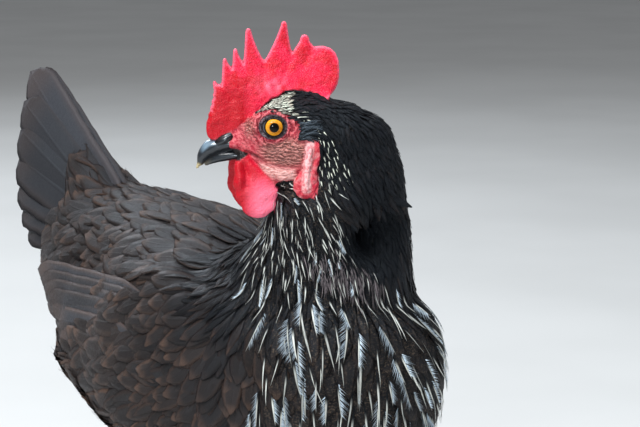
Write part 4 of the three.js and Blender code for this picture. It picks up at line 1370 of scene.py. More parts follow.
# ---- Bill and claws ----
def horn_material():
    """Dark polished horn with fine lengthwise grain, worn paler towards each tip, which an attribute marks
    along with painted light: a pale ridge that is slate horn with a painted highlight, and painted shade in
    the nostrils' slits, on their lids and on the lower bill."""
    paint = Paint("hen horn")
    wear, slit_shade, lid, ridge = paint.channels("Wear")
    place = paint.attribute("Place").outputs["Vector"]
    grain = paint.noise(paint.stretch(place, (0.25, 1.0, 1.0)), 1.3, 4.0, 0.6)
    cloud = paint.noise(place, 0.16, 3.0)
    # Laid over the horn: lighter grain and clouds; the pale ridge, slate horn with a painted highlight; a
    # darker horn on the nostril lids and the lower bill, a painted shade; pale wear at the tips; and the
    # black nostril slits, a painted shade.
    base = paint.layered(
        colour("horn"), (paint.step(grain, 0.42, 0.62), (0.012, 0.013, 0.016)),
        (paint.step(cloud, 0.5, 0.72, 0.0, 0.6), (0.020, 0.025, 0.032)), (ridge, (0.150, 0.215, 0.275)),
        (lid, (0.006, 0.007, 0.009)), (wear, (0.52, 0.42, 0.22)), (slit_shade, (0.002, 0.002, 0.002)))
    scratch = paint.noise(paint.stretch(place, (0.4, 2.0, 2.0), (0.2, 0.3, 0.0)), 2.5, 3.0)
    paint.set(
        Base_Color=base, Roughness=paint.step(grain, 0.35, 0.7, 0.30, 0.42), Specular_IOR_Level=0.3,
        Specular_Tint=(0.75, 0.88, 1.0), Coat_Weight=0.9, Coat_Roughness=0.13, Coat_IOR=1.45,
        Normal=paint.bump(scratch, 0.0001, 0.5))
    return paint.material


UPPER_BILL_ROWS = [
    # forward, sideways, height, half width, rise, drop
    [12, 0, -6.9, 6.6, 4.8, 4.6],
    [20, 0, -7.3, 6.4, 4.6, 4.8],
    [27, 0, -8.7, 5.6, 4.3, 4.8],
    [32, 0, -10.7, 4.5, 4.3, 4.8],
    [35.6, 0, -13.9, 3.0, 2.7, 3.9],
    [37.5, 0, -17.4, 1.6, 0.9, 2.4],
    [BILL_TIP[0] - 0.2, 0, BILL_TIP[1] + 0.8, 0.7, 0.5, 0.9],
]
LOWER_BILL_ROWS = [
    [10, 0, -13.8, 5.0, 2.8, 2.4],
    [18, 0, -13.8, 4.5, 3.0, 2.3],
    [25.5, 0, -14.9, 3.3, 3.6, 2.1],
    [30.5, 0, -16.5, 2.2, 3.6, 1.5],
    [33.2, 0, -17.9, 1.3, 2.6, 0.9],
]
NOSTRIL = np.array([25.2, -5.6])
NOSTRIL_LEAN = math.radians(-32)


def nostril_place(h):
    """Places round a nostril as shares of its own half length and half height, along its own lean."""
    along, above = h[:, 0] - NOSTRIL[0], h[:, 2] - NOSTRIL[1]
    c, s = math.cos(NOSTRIL_LEAN), math.sin(NOSTRIL_LEAN)
    return (along * c + above * s) / 4.6, (above * c - along * s) / 1.9


def bill_middle(h):
    """The height of the upper sheath's widest place, as in its rows up to the bend at the tip."""
    rows = np.array(UPPER_BILL_ROWS)[:5]
    return np.interp(h[:, 0], rows[:, 0], rows[:, 2])


def upper_bill(h):
    """The upper sheath's finer form: the cutting edge is drawn in and sharpened, and each side sinks round
    the nostril."""
    low = smooth_step(-0.2, -3.4, h[:, 2] - bill_middle(h))
    h = h.copy()
    h[:, 1] *= 1 - 0.10 * low
    u, v = nostril_place(h)
    h[:, 1] -= np.sign(h[:, 1]) * 0.5 * np.exp(-(u ** 2 + v ** 2))
    return h


def nostril_egg(s, grow, sink):
    """A leaning egg on the side of the bill: a loft along its own length, turned to the nostril's lean. grow
    makes it longer and higher, and sink sets it deeper in."""
    rows = np.array([
        [-4.0, 0, 0, 0.5, 0.6, 0.6], [-2.6, 0, 0, 1.2, 1.25, 1.25], [0.2, 0, 0, 1.5, 1.65, 1.6],
        [2.8, 0, 0, 1.1, 1.2, 1.2], [4.0, 0, 0, 0.5, 0.6, 0.6]])
    rows[:, 0] *= 1 + grow / 4.5
    rows[:, 4:] += grow
    egg = loft(rows, rings=22, sides=24, side=RIGHTWARDS, caps=(0.5, 0.5), cap_rings=3)
    c, n = math.cos(NOSTRIL_LEAN), math.sin(NOSTRIL_LEAN)

    def put(p):
        x = NOSTRIL[0] + p[:, 0] * c - p[:, 2] * n
        z = NOSTRIL[1] + p[:, 0] * n + p[:, 2] * c
        reach = np.interp(x, [20, 24, 28, 30], [6.0, 5.5, 4.6, 4.1]) - 0.16 * np.clip(z + 6, 0, 6) - sink
        return np.stack([x, s * reach + p[:, 1], z], axis=1)

    return egg.moved(put)


def bill_mesh(name, parts):
    """Bill parts as one mesh, with each point's wear at the tips, its share of painted shade in a nostril's
    slit, its share of the darker horn that paints shade on nostril lids and lower bill, and its share of the
    pale ridge, slate horn with a painted highlight.
    """
    whole = joined([part for part, _, _ in parts])
    slit_shade = np.concatenate([np.full(len(part.points), in_slit_shade) for part, in_slit_shade, _ in parts])
    lid = np.concatenate([np.full(len(part.points), in_painted_shade) for part, _, in_painted_shade in parts])
    h = whole.points
    tip = np.hypot(h[:, 0] - BILL_TIP[0], h[:, 2] - BILL_TIP[1])
    edge = smooth_step(-1.6, -3.6, h[:, 2] - np.interp(h[:, 0], [27, 36], [-9.4, -15.4]))
    edge = edge * smooth_step(30, 36, h[:, 0])
    worn = np.clip(smooth_step(3.4, 1.2, tip) + 0.15 * edge, 0, 1)
    # The pale blue band along the top of the upper bill: slate horn with a painted highlight from the light
    # above.
    top = smooth_step(1.0, 3.4, h[:, 2] - bill_middle(h) + 0.6 * waves(h, 5, 71))
    ridge = top * smooth_step(23, 29, h[:, 0]) * smooth_step(38, 34, h[:, 0]) * (1 - lid)
    wear = np.stack([worn, slit_shade, lid, ridge], axis=1)
    return mesh_of(name, whole.moved(on_head), colours={"Wear": wear}, vectors={"Place": h})


class HEN_OT_bill(bpy.types.Operator):
    """Makes the two halves of the bill with its nostrils"""

    bl_idname = "hen.bill"
    bl_label = "Bill"

    def execute(self, context):
        material = horn_material()
        upper = loft(UPPER_BILL_ROWS, rings=60, sides=56, side=RIGHTWARDS, power=1.85, caps=(2, 1.2))
        parts = [(upper.moved(upper_bill), 0.0, 0.0)]
        # A larger egg set deeper round each nostril lid, painted near black: the shade in the nostril's slit.
        parts += [(nostril_egg(s, 0.75, 0.55), 1.0, 0.0) for _, s in SIDES]
        # The nostril lids, in a darker horn: painted shade.
        parts += [(nostril_egg(s, 0.0, 0.0), 0.0, 1.0) for _, s in SIDES]
        shown(bill_mesh("upper_bill_sheath", parts), material, "horn", "bill_upper")
        lower = loft(LOWER_BILL_ROWS, rings=44, sides=48, side=RIGHTWARDS, caps=(2, 1.5))
        # The lower bill in the darker horn too: painted shade under the upper bill.
        shown(bill_mesh("lower_bill_sheath", [(lower, 0.0, 1.0)]), material, "horn", "bill_lower")
        return {"FINISHED"}


# ---- Legs ----
FOOT_SPREAD = 44
FOOT_Y = 2
HOCK = (41, 27, 101)
SHANK_RADIUS = 5.6
CLAW_LENGTH = 13  # beyond its toe
TOES = [
    # name, degrees away from straight ahead (positive is outwards), length to the claw, root radius, joints
    ("middle", 4, 60, 5.2, 3),
    ("inner", -32, 43, 4.8, 2),
    ("outer", 38, 47, 4.6, 3),
    ("hind", -160, 27, 4.2, 1),
]


def leg_material():
    """Slate-grey scales: broad overlapping plates down the front, small ones at the sides and behind, from
    the flat map's share of the way round and distance along."""
    paint = Paint("hen legs")
    around, along = paint.flat_map("Along")
    place = paint.object_place()
    front = paint.step(paint.math("ABSOLUTE", paint.math("SUBTRACT", around, 0.75)), 0.21, 0.17)
    plate = paint.math("FRACT", paint.times(along, 2.1))
    plate_height = paint.step(plate, 0.0, 0.16)
    small = paint.cells(place, 420)
    small_height = paint.step(small, 0.62, 0.2)
    height = paint.mix(front, small_height, plate_height)
    tone = paint.noise(place, 160, 3.0)
    base = paint.layered(
        colour("legs"), (paint.step(tone, 0.35, 0.7), (0.13, 0.128, 0.122)),
        (paint.step(height, 0.5, 0.05, 0.0, 0.75), (0.022, 0.022, 0.024)))
    paint.set(Base_Color=base, Roughness=paint.step(tone, 0.3, 0.7, 0.38, 0.55), Specular_IOR_Level=0.5,
              Normal=paint.bump(height, 0.00045, 0.9))
    return paint.material


def toe_way(toe):
    """The level direction of one of the left foot's toes."""
    angle = math.radians(-90 + toe[1])
    return np.array([math.cos(angle), math.sin(angle), 0.0])


def toe_shell(toe):
    """A toe of the left foot: rings that dip to the floor, with a soft swelling under each joint."""
    name, _, length, radius, joints = toe
    radii = radius * np.array([1, 0.97, 0.86, 0.74])
    lift = 6 if name == "hind" else 2
    heights = radii * 0.85 + np.array([lift, 0.4, 0, 0])
    places = np.array([FOOT_SPREAD, FOOT_Y, 0]) + toe_way(toe) * np.linspace(4, length, 4)[:, None]
    rows = np.column_stack([places[:, :2], heights, radii, radii, radii])
    way = toe_way(toe)
    ripple = lambda t, angle: 1 + 0.06 * np.cos(2 * math.pi * joints * t) + 0.025 * np.abs(
        np.sin(math.pi * length / 4.2 * t)) * (np.sin(angle) > 0)
    shell = loft(rows, rings=70, sides=28, side=(-way[1], way[0], 0), caps=(2, 3), cap_rings=4, ripple=ripple)
    return shell.moved(lambda p: np.column_stack([p[:, :2], np.maximum(p[:, 2], 0.15)]))


def claw_shell(toe):
    """A claw: a tapered, bent loft that follows on from its toe and stays just off the floor."""
    _, _, length, radius, _ = toe
    way = toe_way(toe)
    beyond, height, share = np.array([
        [-2, 4.4, 0.5], [3, 5.4, 0.5], [7.5, 4.2, 0.34], [CLAW_LENGTH - 1.6, 1.6, 0.14]]).T
    places = np.array([FOOT_SPREAD, FOOT_Y, 0]) + way * (length + beyond)[:, None]
    rows = np.column_stack([places[:, :2], height, radius * share * 0.85, radius * share, radius * share])
    return loft(rows, rings=24, sides=20, side=(-way[1], way[0], 0), caps=(1, 0.8), cap_rings=4)


def shank_shell():
    """The left shank from hock to foot, with the edges of its front plates as low steps."""
    side, y, z = HOCK
    rows = [
        [side, y, z + 2, 6.6, 8, 8],
        [side + 0.3, y - 3, z - 10, 6.6, 7.6, 7.6],
        [42, 18, 72, SHANK_RADIUS - 0.4, SHANK_RADIUS + 0.6, SHANK_RADIUS + 0.6],
        [43, 10, 42, SHANK_RADIUS - 0.6, SHANK_RADIUS + 0.4, SHANK_RADIUS + 0.4],
        [FOOT_SPREAD, FOOT_Y + 2, 17, 6.6, 6.6, 6.6],
    ]
    plates = lambda t, angle: 1 + 0.022 * (1 - np.mod(t * 18, 1)) * smooth_step(0.2, 0.6, -np.sin(angle))
    return loft(rows, rings=150, sides=40, caps=(6, 3), ripple=plates)


def pad_shell():
    """The pad under a foot: an egg with its sole cut flat at the floor."""
    rows = [[FOOT_SPREAD, FOOT_Y - 1, z, 0.01 + 9.6 * w, 0.01 + 10.4 * w, 0.01 + 10.4 * w] for z, w in
            ((14.6, 0.42), (11, 0.86), (6.8, 1.0), (2.4, 0.88), (0.3, 0.62))]
    return loft(rows, rings=20, sides=40, caps=(0.9, 0.2), cap_rings=2)


class HEN_OT_legs(bpy.types.Operator):
    """Makes shanks, feet and claws"""

    bl_idname = "hen.legs"
    bl_label = "Legs"

    def execute(self, context):
        scales, horn = leg_material(), horn_material()
        for side, s in SIDES:
            turned = lambda shell: shell if s > 0 else shell.mirrored(0)
            foot = joined([turned(one) for one in (shank_shell(), pad_shell(), *map(toe_shell, TOES))])
            nodes = [f"{part}_{side}" for part in ("shank", "foot_pad", *("toe_" + toe[0] for toe in TOES))]
            shown(mesh_of("leg_" + side, foot), scales, "leg_scales", *nodes)
            claws = joined([turned(claw_shell(toe)) for toe in TOES])
            wear = np.zeros((len(claws.points), 4))
            mesh = mesh_of("claws_" + side, claws, colours={"Wear": wear}, vectors={"Place": claws.points})
            shown(mesh, horn, "horn", *[f"claw_{toe[0]}_{side}" for toe in TOES])
        return {"FINISHED"}


# ---- Coat ----
def feather_material(name, gloss, barb_rows=3.0, sheen=(0.6, 0.65, 0.8), painted_sheen=None, mark=(0.72, 0.68, 0.56),
                     shine=0.2):
    """A feather: fine slanting barbs, a shaft, and whatever its own numbers ask for. Marks holds how light it
    is, how brown, how freckled and how much of the mark colour it has. A painted sheen colour, where one is
    given, is what the lighter feathers mix towards, a painted bluish gloss."""
    paint = Paint(name)
    across, along = paint.flat_map("Vane")
    tone, brown, freckles, share = paint.channels("Marks")
    place = paint.object_place()
    off = paint.math("ABSOLUTE", paint.math("SUBTRACT", paint.times(across, 2.0), 1.0))
    rough = paint.noise(place, 700, 2.0)
    phase = paint.math("SUBTRACT", along, paint.times(off, 0.36))
    phase = paint.plus(paint.times(phase, barb_rows), paint.times(rough, 0.9))
    barb = paint.step(paint.math("SINE", paint.times(phase, 2 * math.pi)), -0.9, 0.9)
    light = paint.mix(brown, painted_sheen or (0.016, 0.017, 0.020), painted_sheen or (0.045, 0.030, 0.024))
    rim = paint.math("MAXIMUM", paint.step(off, 0.5, 0.98), paint.step(along, 0.78, 0.98))
    edge = paint.times(brown, paint.step(tone, -0.2, 0.9, 0.1, 1.0))
    freckle = paint.step(paint.noise(paint.stretch(place, (0.7, 0.7, 1.2)), 1100, 3.0, 0.7), 0.50, 0.66)
    ending = paint.times(paint.step(along, 0.20, 0.45), paint.step(off, 1.1, 0.6))
    ground = paint.layered(
        colour("black"), (brown, colour("brown")), (paint.times(tone, 0.6), light),
        (paint.step(barb, 0.0, 1.0, 0.45, 0.0), (0.0018, 0.0016, 0.0018)),
        (paint.times(rim, edge), colour("edge")), (paint.times(freckle, freckles), (0.105, 0.076, 0.054)),
        (paint.times(ending, share), mark))
    height = paint.plus(paint.times(barb, 0.6), paint.times(paint.step(off, 0.09, 0.03), 0.9))
    paint.set(
        Base_Color=ground, Roughness=paint.step(rough, 0.3, 0.7, gloss, gloss + 0.16),
        Specular_IOR_Level=shine, Specular_Tint=(0.72, 0.86, 1.0), Sheen_Weight=0.02, Sheen_Roughness=0.35,
        Sheen_Tint=sheen, Normal=paint.bump(height, 0.00025, 0.8))
    return paint.material


def numbers(count, tone=0.0, brown=0.0, freckles=0.0, share=0.0):
    """The four numbers that feather_material reads, for each of many feathers."""
    return np.stack([np.broadcast_to(value, count) for value in (tone, brown, freckles, share)], axis=1)


def own_numbers(rng, look):
    """Each feather's numbers, drawn around what its place asks for. Feathers in the neck's hollow get no
    lightness and no brown, a painted shade.
    """
    count = len(look["wing"])
    draw = rng.random((4, count))
    throat, outside_painted_shade = look["throat"], 1 - look["hollow"]
    brown = np.clip(look["brown"] + 0.35 * (draw[1] - 0.5), 0, 1) * outside_painted_shade * (1 - 0.72 * throat)
    freckles = throat * smooth_step(0.1, 0.6, look["breast"] + 0.2) * (0.3 + 0.7 * draw[2])
    return numbers(count, draw[0] ** 1.5 * outside_painted_shade, brown, freckles, look["brow"] * (0.75 + 0.25 * draw[3]))


def head_flecks(p):
    """How thickly pale flecks stand: a dense patch from the comb's foot to the eye, a line behind the eye and
    a loose patch behind the ear lobe."""
    h = to_head(p)
    side = h[:, [0, 2]]
    brow = region(side, BROW, 0.8)
    line = smooth_step(2.6, 0.6, distance_to_line(side, EYEBROW)) * 0.45
    nape = region(side, BEHIND_LOBE, 3.0) * 0.30
    return np.maximum(brow, np.maximum(line, nape)) * (h[:, 2] > -40) * (h[:, 0] > -45)


def feathered(p, inward=1.6):
    """The share of places that bear feathers: all but the face, comb, wattles and lobes. The first rows stand
    a little inside the face's edge, so that their own lengths cover it."""
    h = to_head(p)
    comb, wattle, lobe, _, _ = face_masks(h)
    bare = region(h[:, [0, 2]], BARE_FACE, 0.5, -inward) * (1 - comb)
    near = (p[:, 2] > 268) & (p[:, 1] < 20)
    return np.where(near, np.clip(1 - comb - wattle - lobe - bare, 0, 1), 1.0)


BELLY_TOP = 190  # height of the seam between the pieces of back and belly


class HEN_OT_coat(bpy.types.Operator):
    """Makes the small and middle feathers of head, neck, trunk, wings and thighs"""

    bl_idname = "hen.coat"
    bl_label = "Coat"

    def execute(self, context):
        rng, hide = begun("coat")
        places, normals = hide.scatter(TRIED["coat"], rng)
        look = plumage(places)
        chance = (1.75 / look["spacing"]) ** 2 * 3.2 * context.scene.hen_sizes.thickness
        y, z = places[:, 1], places[:, 2]
        under_wing_quills = (look["wing"] > 0.5) & (y > 52) & (z > 170 + 0.757 * (y - 42))
        under_tail_quills = (y > 117) & (z > 240)
        bearing = (feathered(places) > 0.5) & ~under_wing_quills & ~under_tail_quills
        places, normals = sown(places, normals, chance * bearing, look["spacing"] * 0.82, rng)
        look = plumage(places)
        small = look["head"] > 0.5
        neck = ~small & (look["neck"] > 0.5)
        front = ~small & ~neck & (look["throat"] > 0.15)
        wing = ~small & ~neck & ~front & (look["wing"] > 0.5)
        rear = ~small & ~neck & ~front & ~wing
        low = places[:, 2] < BELLY_TOP
        black = feather_material("black head feathers", 0.36, 7.0, sheen=(0.55, 0.65, 0.9))
        hackle = feather_material("neck feathers", 0.34, 16.0, sheen=(0.5, 0.65, 0.95))
        breast = feather_material("breast feathers", 0.5, 20.0, shine=0.15)
        covert = feather_material("brown feathers", 0.44, 24.0, sheen=(0.75, 0.66, 0.8), shine=0.3)
        tracts = [
            # name, which feathers, material, rows of points, points across, shape, loose barbs
            ("head_feathers", small, black, 5, 3, "round", 0),
            ("neck_feathers", neck, hackle, 7, 4, "pointed", 6),
            ("breast_feathers", front, breast, 9, 6, "round", 18),
            ("wing_coverts", wing, covert, 8, 5, "round", 12),
            ("back_feathers", rear & ~low, covert, 8, 5, "round", 14),
            ("belly_feathers", rear & low, covert, 8, 5, "round", 14),
        ]
        for name, chosen, *how in tracts:
            self.tract(name, places[chosen], normals[chosen], hide, rng, *how)
        return {"FINISHED"}

    def tract(self, name, places, normals, hide, rng, material, rows, across, shape, loose):
        """One tract of the coat as one piece."""
        look = plumage(places)
        count = len(places)
        length = look["length"] * rng.uniform(0.82, 1.16, count)
        width = look["width"] * rng.uniform(0.84, 1.12, count)
        path, face = followed(hide, places, normals, length, rows, rng)
        lift = look["lift"] * rng.uniform(0.7, 1.3, count)
        height = 0.15 + lift[:, None] * vane_run(rows)[None, :] ** 0.9
        frames = turned_frames(path, face, rng, 0.1)
        made = vanes(path, frames, width, height, rng, across=across, shape=shape)
        if loose:
            made = together(made, barbs(path, frames, width, height, rng, loose, shape))
        shown(feather_mesh(name, made, places, own_numbers(rng, look)), material, "body_feathers")


def parted(p):
    """How far the feathers part at places, in a patch across the foot of the neck: a bell of the distance to
    a line, taken from places that are moved a little by waves."""
    return swell(distance_to_line(p + 4 * waves(p, 14, 61)[:, None], PARTING), 6.0)


def strands(name, hide, roots, normals, length, width, start, lift, rng, material, share):
    """Slim vanes that follow the lay of the plumage, as one piece, with shares of the mark colour."""
    rows = 6
    path, face = followed(hide, roots, normals, length, rows, rng)
    frames = turned_frames(path, face, rng, 0.3)
    height = start[:, None] + lift[:, None] * vane_run(rows)[None, :]
    made = vanes(path, frames, width, height, rng, across=3, shape="pointed", thick=0.18)
    shown(feather_mesh(name, made, roots, numbers(len(roots), share=share)), material, "body_feathers")
    return path, frames, height


class HEN_OT_streaks(bpy.types.Operator):
    """Makes the long pale shafts of neck and breast, the pale barbs beside some of them, and grey down"""

    bl_idname = "hen.streaks"
    bl_label = "Streaks"

    def execute(self, context):
        rng, hide = begun("streaks")
        places, normals = hide.scatter(TRIED["streaks"], rng)
        chance = 0.9 * plumage(places)["throat"] ** 2 * (1 - 0.5 * parted(places)) * (feathered(places) > 0.5)
        spacing = lerp(2.4, 6.0, smooth_step(262, 232, places[:, 2])) * rng.uniform(0.7, 1.5, len(places))
        places, normals = sown(places, normals, chance, spacing, rng)
        low = smooth_step(262, 232, places[:, 2])
        count = len(places)
        length = lerp(9.0, 21.0, low) * rng.uniform(0.55, 1.35, count)
        width = lerp(0.9, 1.45, low) * rng.uniform(0.6, 1.3, count)
        lift = plumage(places)["lift"]
        white = feather_material("pale shafts", 0.5, mark=(0.78, 0.80, 0.74))
        path, frames, height = strands(
            "pale_shafts", hide, places, normals, length, width, lift * 0.9 + 0.6, lift * 0.6 + 0.8, rng,
            white, rng.uniform(0.5, 1.0, count))
        chosen = rng.random(count) < lerp(0.10, 0.45, low)
        vane = lerp(5.5, 11.0, low) * rng.uniform(0.8, 1.2, count)
        made = barbs(
            path[chosen], tuple(line[chosen] for line in frames), vane[chosen], height[chosen] - 0.1, rng, 20,
            low=0.14, long=0.56, base=0.36, start=(0.0, 0.04), one_side=True)
        blue = feather_material("pale barbs", 0.5, mark=(0.66, 0.78, 0.88))
        marks = numbers(len(made[0]), share=rng.uniform(0.5, 1.0, len(made[0])))
        shown(feather_mesh("pale_barbs", made, places[chosen], marks), blue, "body_feathers")
        self.down(hide, rng)
        return {"FINISHED"}

    def down(self, hide, rng):
        """Grey down that shows where the feathers part at the foot of the neck."""
        places, normals = hide.scatter(TRIED["down"], rng)
        keep = rng.random(len(places)) < 0.75 * parted(places) ** 1.3
        places, normals = places[keep], normals[keep]
        draw = rng.random((4, len(places)))
        grey = feather_material("grey down", 0.6, mark=(0.32, 0.27, 0.28))
        start = plumage(places)["lift"] + lerp(0.2, 1.6, draw[2])
        strands("neck_down", hide, places, normals, lerp(5, 12, draw[0]), lerp(0.4, 0.8, draw[1]), start,
                1 + 0 * draw[0], rng, grey, lerp(0.1, 1, draw[3]))


class HEN_OT_hairs(bpy.types.Operator):
    """Makes the pale flecks of the head, the tuft over each ear and the bristles of the face"""

    bl_idname = "hen.hairs"
    bl_label = "Flecks, ear tufts and bristles"

    def execute(self, context):
        rng, hide = begun("hairs")
        places, normals = hide.scatter(TRIED["hairs"], rng)
        near = (places[:, 2] > 275) & (places[:, 1] < 0)
        self.flecks(hide, places[near], normals[near], rng)
        self.ear_tufts(hide, rng)
        self.bristles(places[near], normals[near], rng)
        return {"FINISHED"}

    def flecks(self, hide, places, normals, rng):
        """Cream strokes that lie on the black feathers, dense over the eye."""
        wanted = head_flecks(places)
        chance = wanted * (feathered(places, 0.0) > 0.3)
        places, normals = sown(places, normals, chance, np.where(wanted > 0.7, 0.56, 1.8), rng)
        dense = 1.0 * (head_flecks(places) > 0.7)
        draw = rng.random((3, len(places)))
        length = lerp(lerp(2.6, 5.4, draw[0]), lerp(2.8, 4.6, draw[0]), dense)
        width = lerp(0.55, 1.05, draw[1]) + 0.06 * dense
        cream = feather_material("pale flecks", 0.5, mark=(0.93, 0.97, 0.82))
        start, lift = lerp(1.15, 0.5, dense), 1 + 0.2 * dense
        share = lerp(lerp(0.55, 0.75, dense), 1, draw[2])
        strands("pale_flecks", hide, places, normals, length, width, start, lift, rng, cream, share)

    def ear_tufts(self, hide, rng):
        """Silky strands that start behind the eye and sweep back and up over each ear, then droop. Some are
        pale blue-grey: partly their own silvery strands, partly a painted sheen.
        """
        count, rows = 220, 8
        run = vane_run(rows)[None, :, None]
        material = feather_material("ear tufts", 0.26, 5.0, painted_sheen=(0.17, 0.22, 0.27), shine=0.4)
        for side, s in SIDES:
            x = rng.uniform(-16.5, -10.8, count)
            z = rng.uniform(-5.0, 3.6, count) - 0.15 * (x + 11)
            roots, normals = hide.nearest(on_head(np.stack([x, np.full(count, s * 16.0), z], axis=1)))
            length = rng.uniform(4.5, 11.5, (count, 1, 1))
            spread = rng.normal(0, 0.20, (count, 1, 1))
            droop = 0.62 + 0.25 * rng.random((count, 1, 1))
            arch = UP * (0.55 * run - droop * run ** 2 + spread * run)
            bulge = LEFTWARDS * s * (0.9 + 2.6 * run - 2.7 * run ** 2 + rng.random((count, 1, 1)))
            path = roots[:, None] + (arch - AHEAD * run) * length + bulge
            face = np.repeat(unit(normals + LEFTWARDS * s)[:, None], rows, axis=1)
            frames = turned_frames(path, face, rng, 0.5)
            width, flat = rng.uniform(0.7, 1.3, count), np.zeros((count, rows))
            made = vanes(path, frames, width, flat, rng, across=3, shape="pointed", thick=0.2)
            # Which strands are pale blue-grey: partly silvery strands, partly a painted sheen.
            tone = (rng.random(count) < 0.35) * rng.uniform(0.5, 1.0, count)
            mesh = feather_mesh("ear_tuft_" + side, made, roots, numbers(count, tone))
            shown(mesh, material, "body_feathers")

    def bristles(self, places, normals, rng):
        """Short stiff bristles on the face: slim closed spikes of four faces that point back along it,
        densest in front of the eye and below it."""
        h = to_head(places)
        _, wattle, lobe, bare, eye = face_masks(h)
        front = 1.6 * swell(h[:, 0] - 13, 3.2) * swell(h[:, 2] - 1, 5.5)
        below = swell(h[:, 0] + 3, 9) * swell(h[:, 2] + 10, 6)
        chance = np.clip(front + 0.6 * below, 0, 1.5) * bare * (1 - lobe) * (1 - wattle) * (eye > 7.8) * 0.4
        places, normals = sown(places, normals, chance, 0.8, rng)
        count = len(places)
        way = -AHEAD + rng.normal(0, 0.3, (count, 3))
        way = unit(way - dot(way, normals) * normals + 0.18 * normals)
        length = rng.uniform(1.1, 2.3, (count, 1))
        side = np.cross(normals, way) * 0.09
        points = [places - side, places + side, places - normals * 0.2, places + way * length]
        faces = np.array([[0, 2, 1], [1, 3, 0], [2, 3, 1], [0, 3, 2]])
        made = (np.stack(points, axis=1), [faces], np.full((count, 4, 2), 0.5))
        mesh = feather_mesh("face_bristles", made, places, numbers(count, brown=rng.random(count) * 0.8))
        shown(mesh, feather_material("face bristles", 0.4), "body_feathers")


class HEN_OT_quills(bpy.types.Operator):
    """Makes the long feathers of wings and tail"""

    bl_idname = "hen.quills"
    bl_label = "Wing and tail"

    def execute(self, context):
        rng, hide = begun("quills")
        # The quills' blue-grey lightness is a painted reflection of the sky on wing and tail.
        material = feather_material(
            "quill feathers", 0.46, 64.0, sheen=(0.6, 0.6, 0.85), painted_sheen=(0.10, 0.105, 0.125), shine=0.34)
        for side, _ in SIDES:
            self.wing(side, hide, material, rng)
            self.tail(side, material, rng)
        return {"FINISHED"}

    def piece(self, part, side, path, face, width, height, rng, material, brown):
        """Long feathers as one piece, from the middle lines of the right side's, mirrored for the left."""
        if side == "left":
            path, face = path * [-1, 1, 1], face * [-1, 1, 1]
        frames = turned_frames(path, face, rng, 0.03)
        made = vanes(path, frames, width, height, rng, 9, "quill", camber=0.06, thick=0.4, ragged=0.05)
        marks = numbers(len(path), rng.uniform(0.2, 0.6, len(path)), brown)
        mesh = feather_mesh(f"{part}_quills_{side}", made, path[:, 0], marks)
        shown(mesh, material, "flight_feathers", f"{part}_{side}")

    def wing(self, side, hide, material, rng):
        """Secondaries stacked down the folded wing, the upper ones over the lower, and the tips of the
        primaries from under them."""
        rows, secondaries, primaries = 22, 13, 4
        t = np.linspace(0, 1, secondaries)[::-1]
        start = lerp(np.array([-74.0, -6, 236]), np.array([-74.0, -14, 178]), t[:, None])
        end_y = lerp(112, 42, t)
        reach = np.interp(end_y, [40, 68, 94, 114], [68.5, 63, 57, 51])
        end = np.stack([-reach, end_y, lerp(227, 174, t)], axis=1)
        run = np.linspace(0, 1, rows)[None, :, None]
        line = lerp(start[:, None], end[:, None], run)
        spots, normals = hide.nearest(line.reshape(-1, 3))
        path, face = spots.reshape(line.shape), normals.reshape(line.shape)
        path[..., 0] = lerp(path[..., 0], line[..., 0], smooth_step(0.45, 1.0, run[..., 0]) * 0.75)
        face = unit(lerp(face, np.array([-1.0, -0.05, 0.12]), 0.6))
        height = (0.4 + 1.6 * (1 - t))[:, None] + 3.4 * run[..., 0] ** 1.5
        share = np.linspace(0, 1, primaries)[:, None]
        root = lerp(np.array([-60.0, 50, 214]), np.array([-60.0, 50, 202]), share)
        tip = lerp(np.array([-42.0, 128, 220]), np.array([-48.0, 114, 205]), share)
        path = np.concatenate([lerp(root[:, None], tip[:, None], run), path])
        face = np.concatenate([np.tile(unit(np.array([-1.0, -0.25, 0.1])), (primaries, rows, 1)), face])
        height = np.concatenate([1.2 * share[::-1] + np.zeros(rows), height])
        width = np.concatenate([np.full(primaries, 11.0), lerp(15, 18, t)])
        self.piece("wing", side, path, face, width, height, rng, material, 0.75)

    def tail(self, side, material, rng):
        """One side of the tail: seven feathers that fan down from the middle pair, each one's face turned
        more upwards than the one above it, like one side of a roof."""
        rows, count = 24, 7
        t = np.linspace(0, 1, count)[::-1]
        rise, splay = np.radians(lerp(40, 6, t)), np.radians(lerp(1, 13, t))
        root = np.stack([-lerp(3, 14, t), np.full(count, 103.0), 246 + lerp(3, -9, t)], axis=1)
        way = np.stack([-np.sin(splay), np.cos(rise) * np.cos(splay), np.sin(rise) * np.cos(splay)], axis=1)
        face = unit(np.stack([0 * t - 1, -lerp(0.1, 0.5, t), lerp(0.25, 0.8, t)], axis=1))
        length = 113 * lerp(1.08, 0.56, t)
        run = np.linspace(0, 1, rows)[None, :, None]
        path = root[:, None] + way[:, None] * (length[:, None, None] * run)
        path = path - face[:, None] * (3.0 * run ** 2)
        face = np.repeat(face[:, None], rows, axis=1)
        height = np.zeros((count, rows)) + (1.8 * (1 - t))[:, None]
        self.piece("tail", side, path, face, lerp(33, 27, t), height, rng, material, 0.35)


# ---- Stage ----
CAMERA_BEARING = math.radians(-40)
CAMERA_PITCH = math.radians(10)
CAMERA_DISTANCE = 0.95
CAMERA_LENS = 106.875
AIM_OFFSET = (-0.02325, 0.04325)  # of the head's origin from the middle of the view, rightwards and up


def view_directions():
    """Towards the camera, to its right and up in its view, from its bearing and its pitch."""
    c, s = math.cos(CAMERA_BEARING), math.sin(CAMERA_BEARING)
    towards = Vector((s * math.cos(CAMERA_PITCH), -c * math.cos(CAMERA_PITCH), math.sin(CAMERA_PITCH)))
    right = Vector((c, s, 0))
    return towards, right, towards.cross(right)


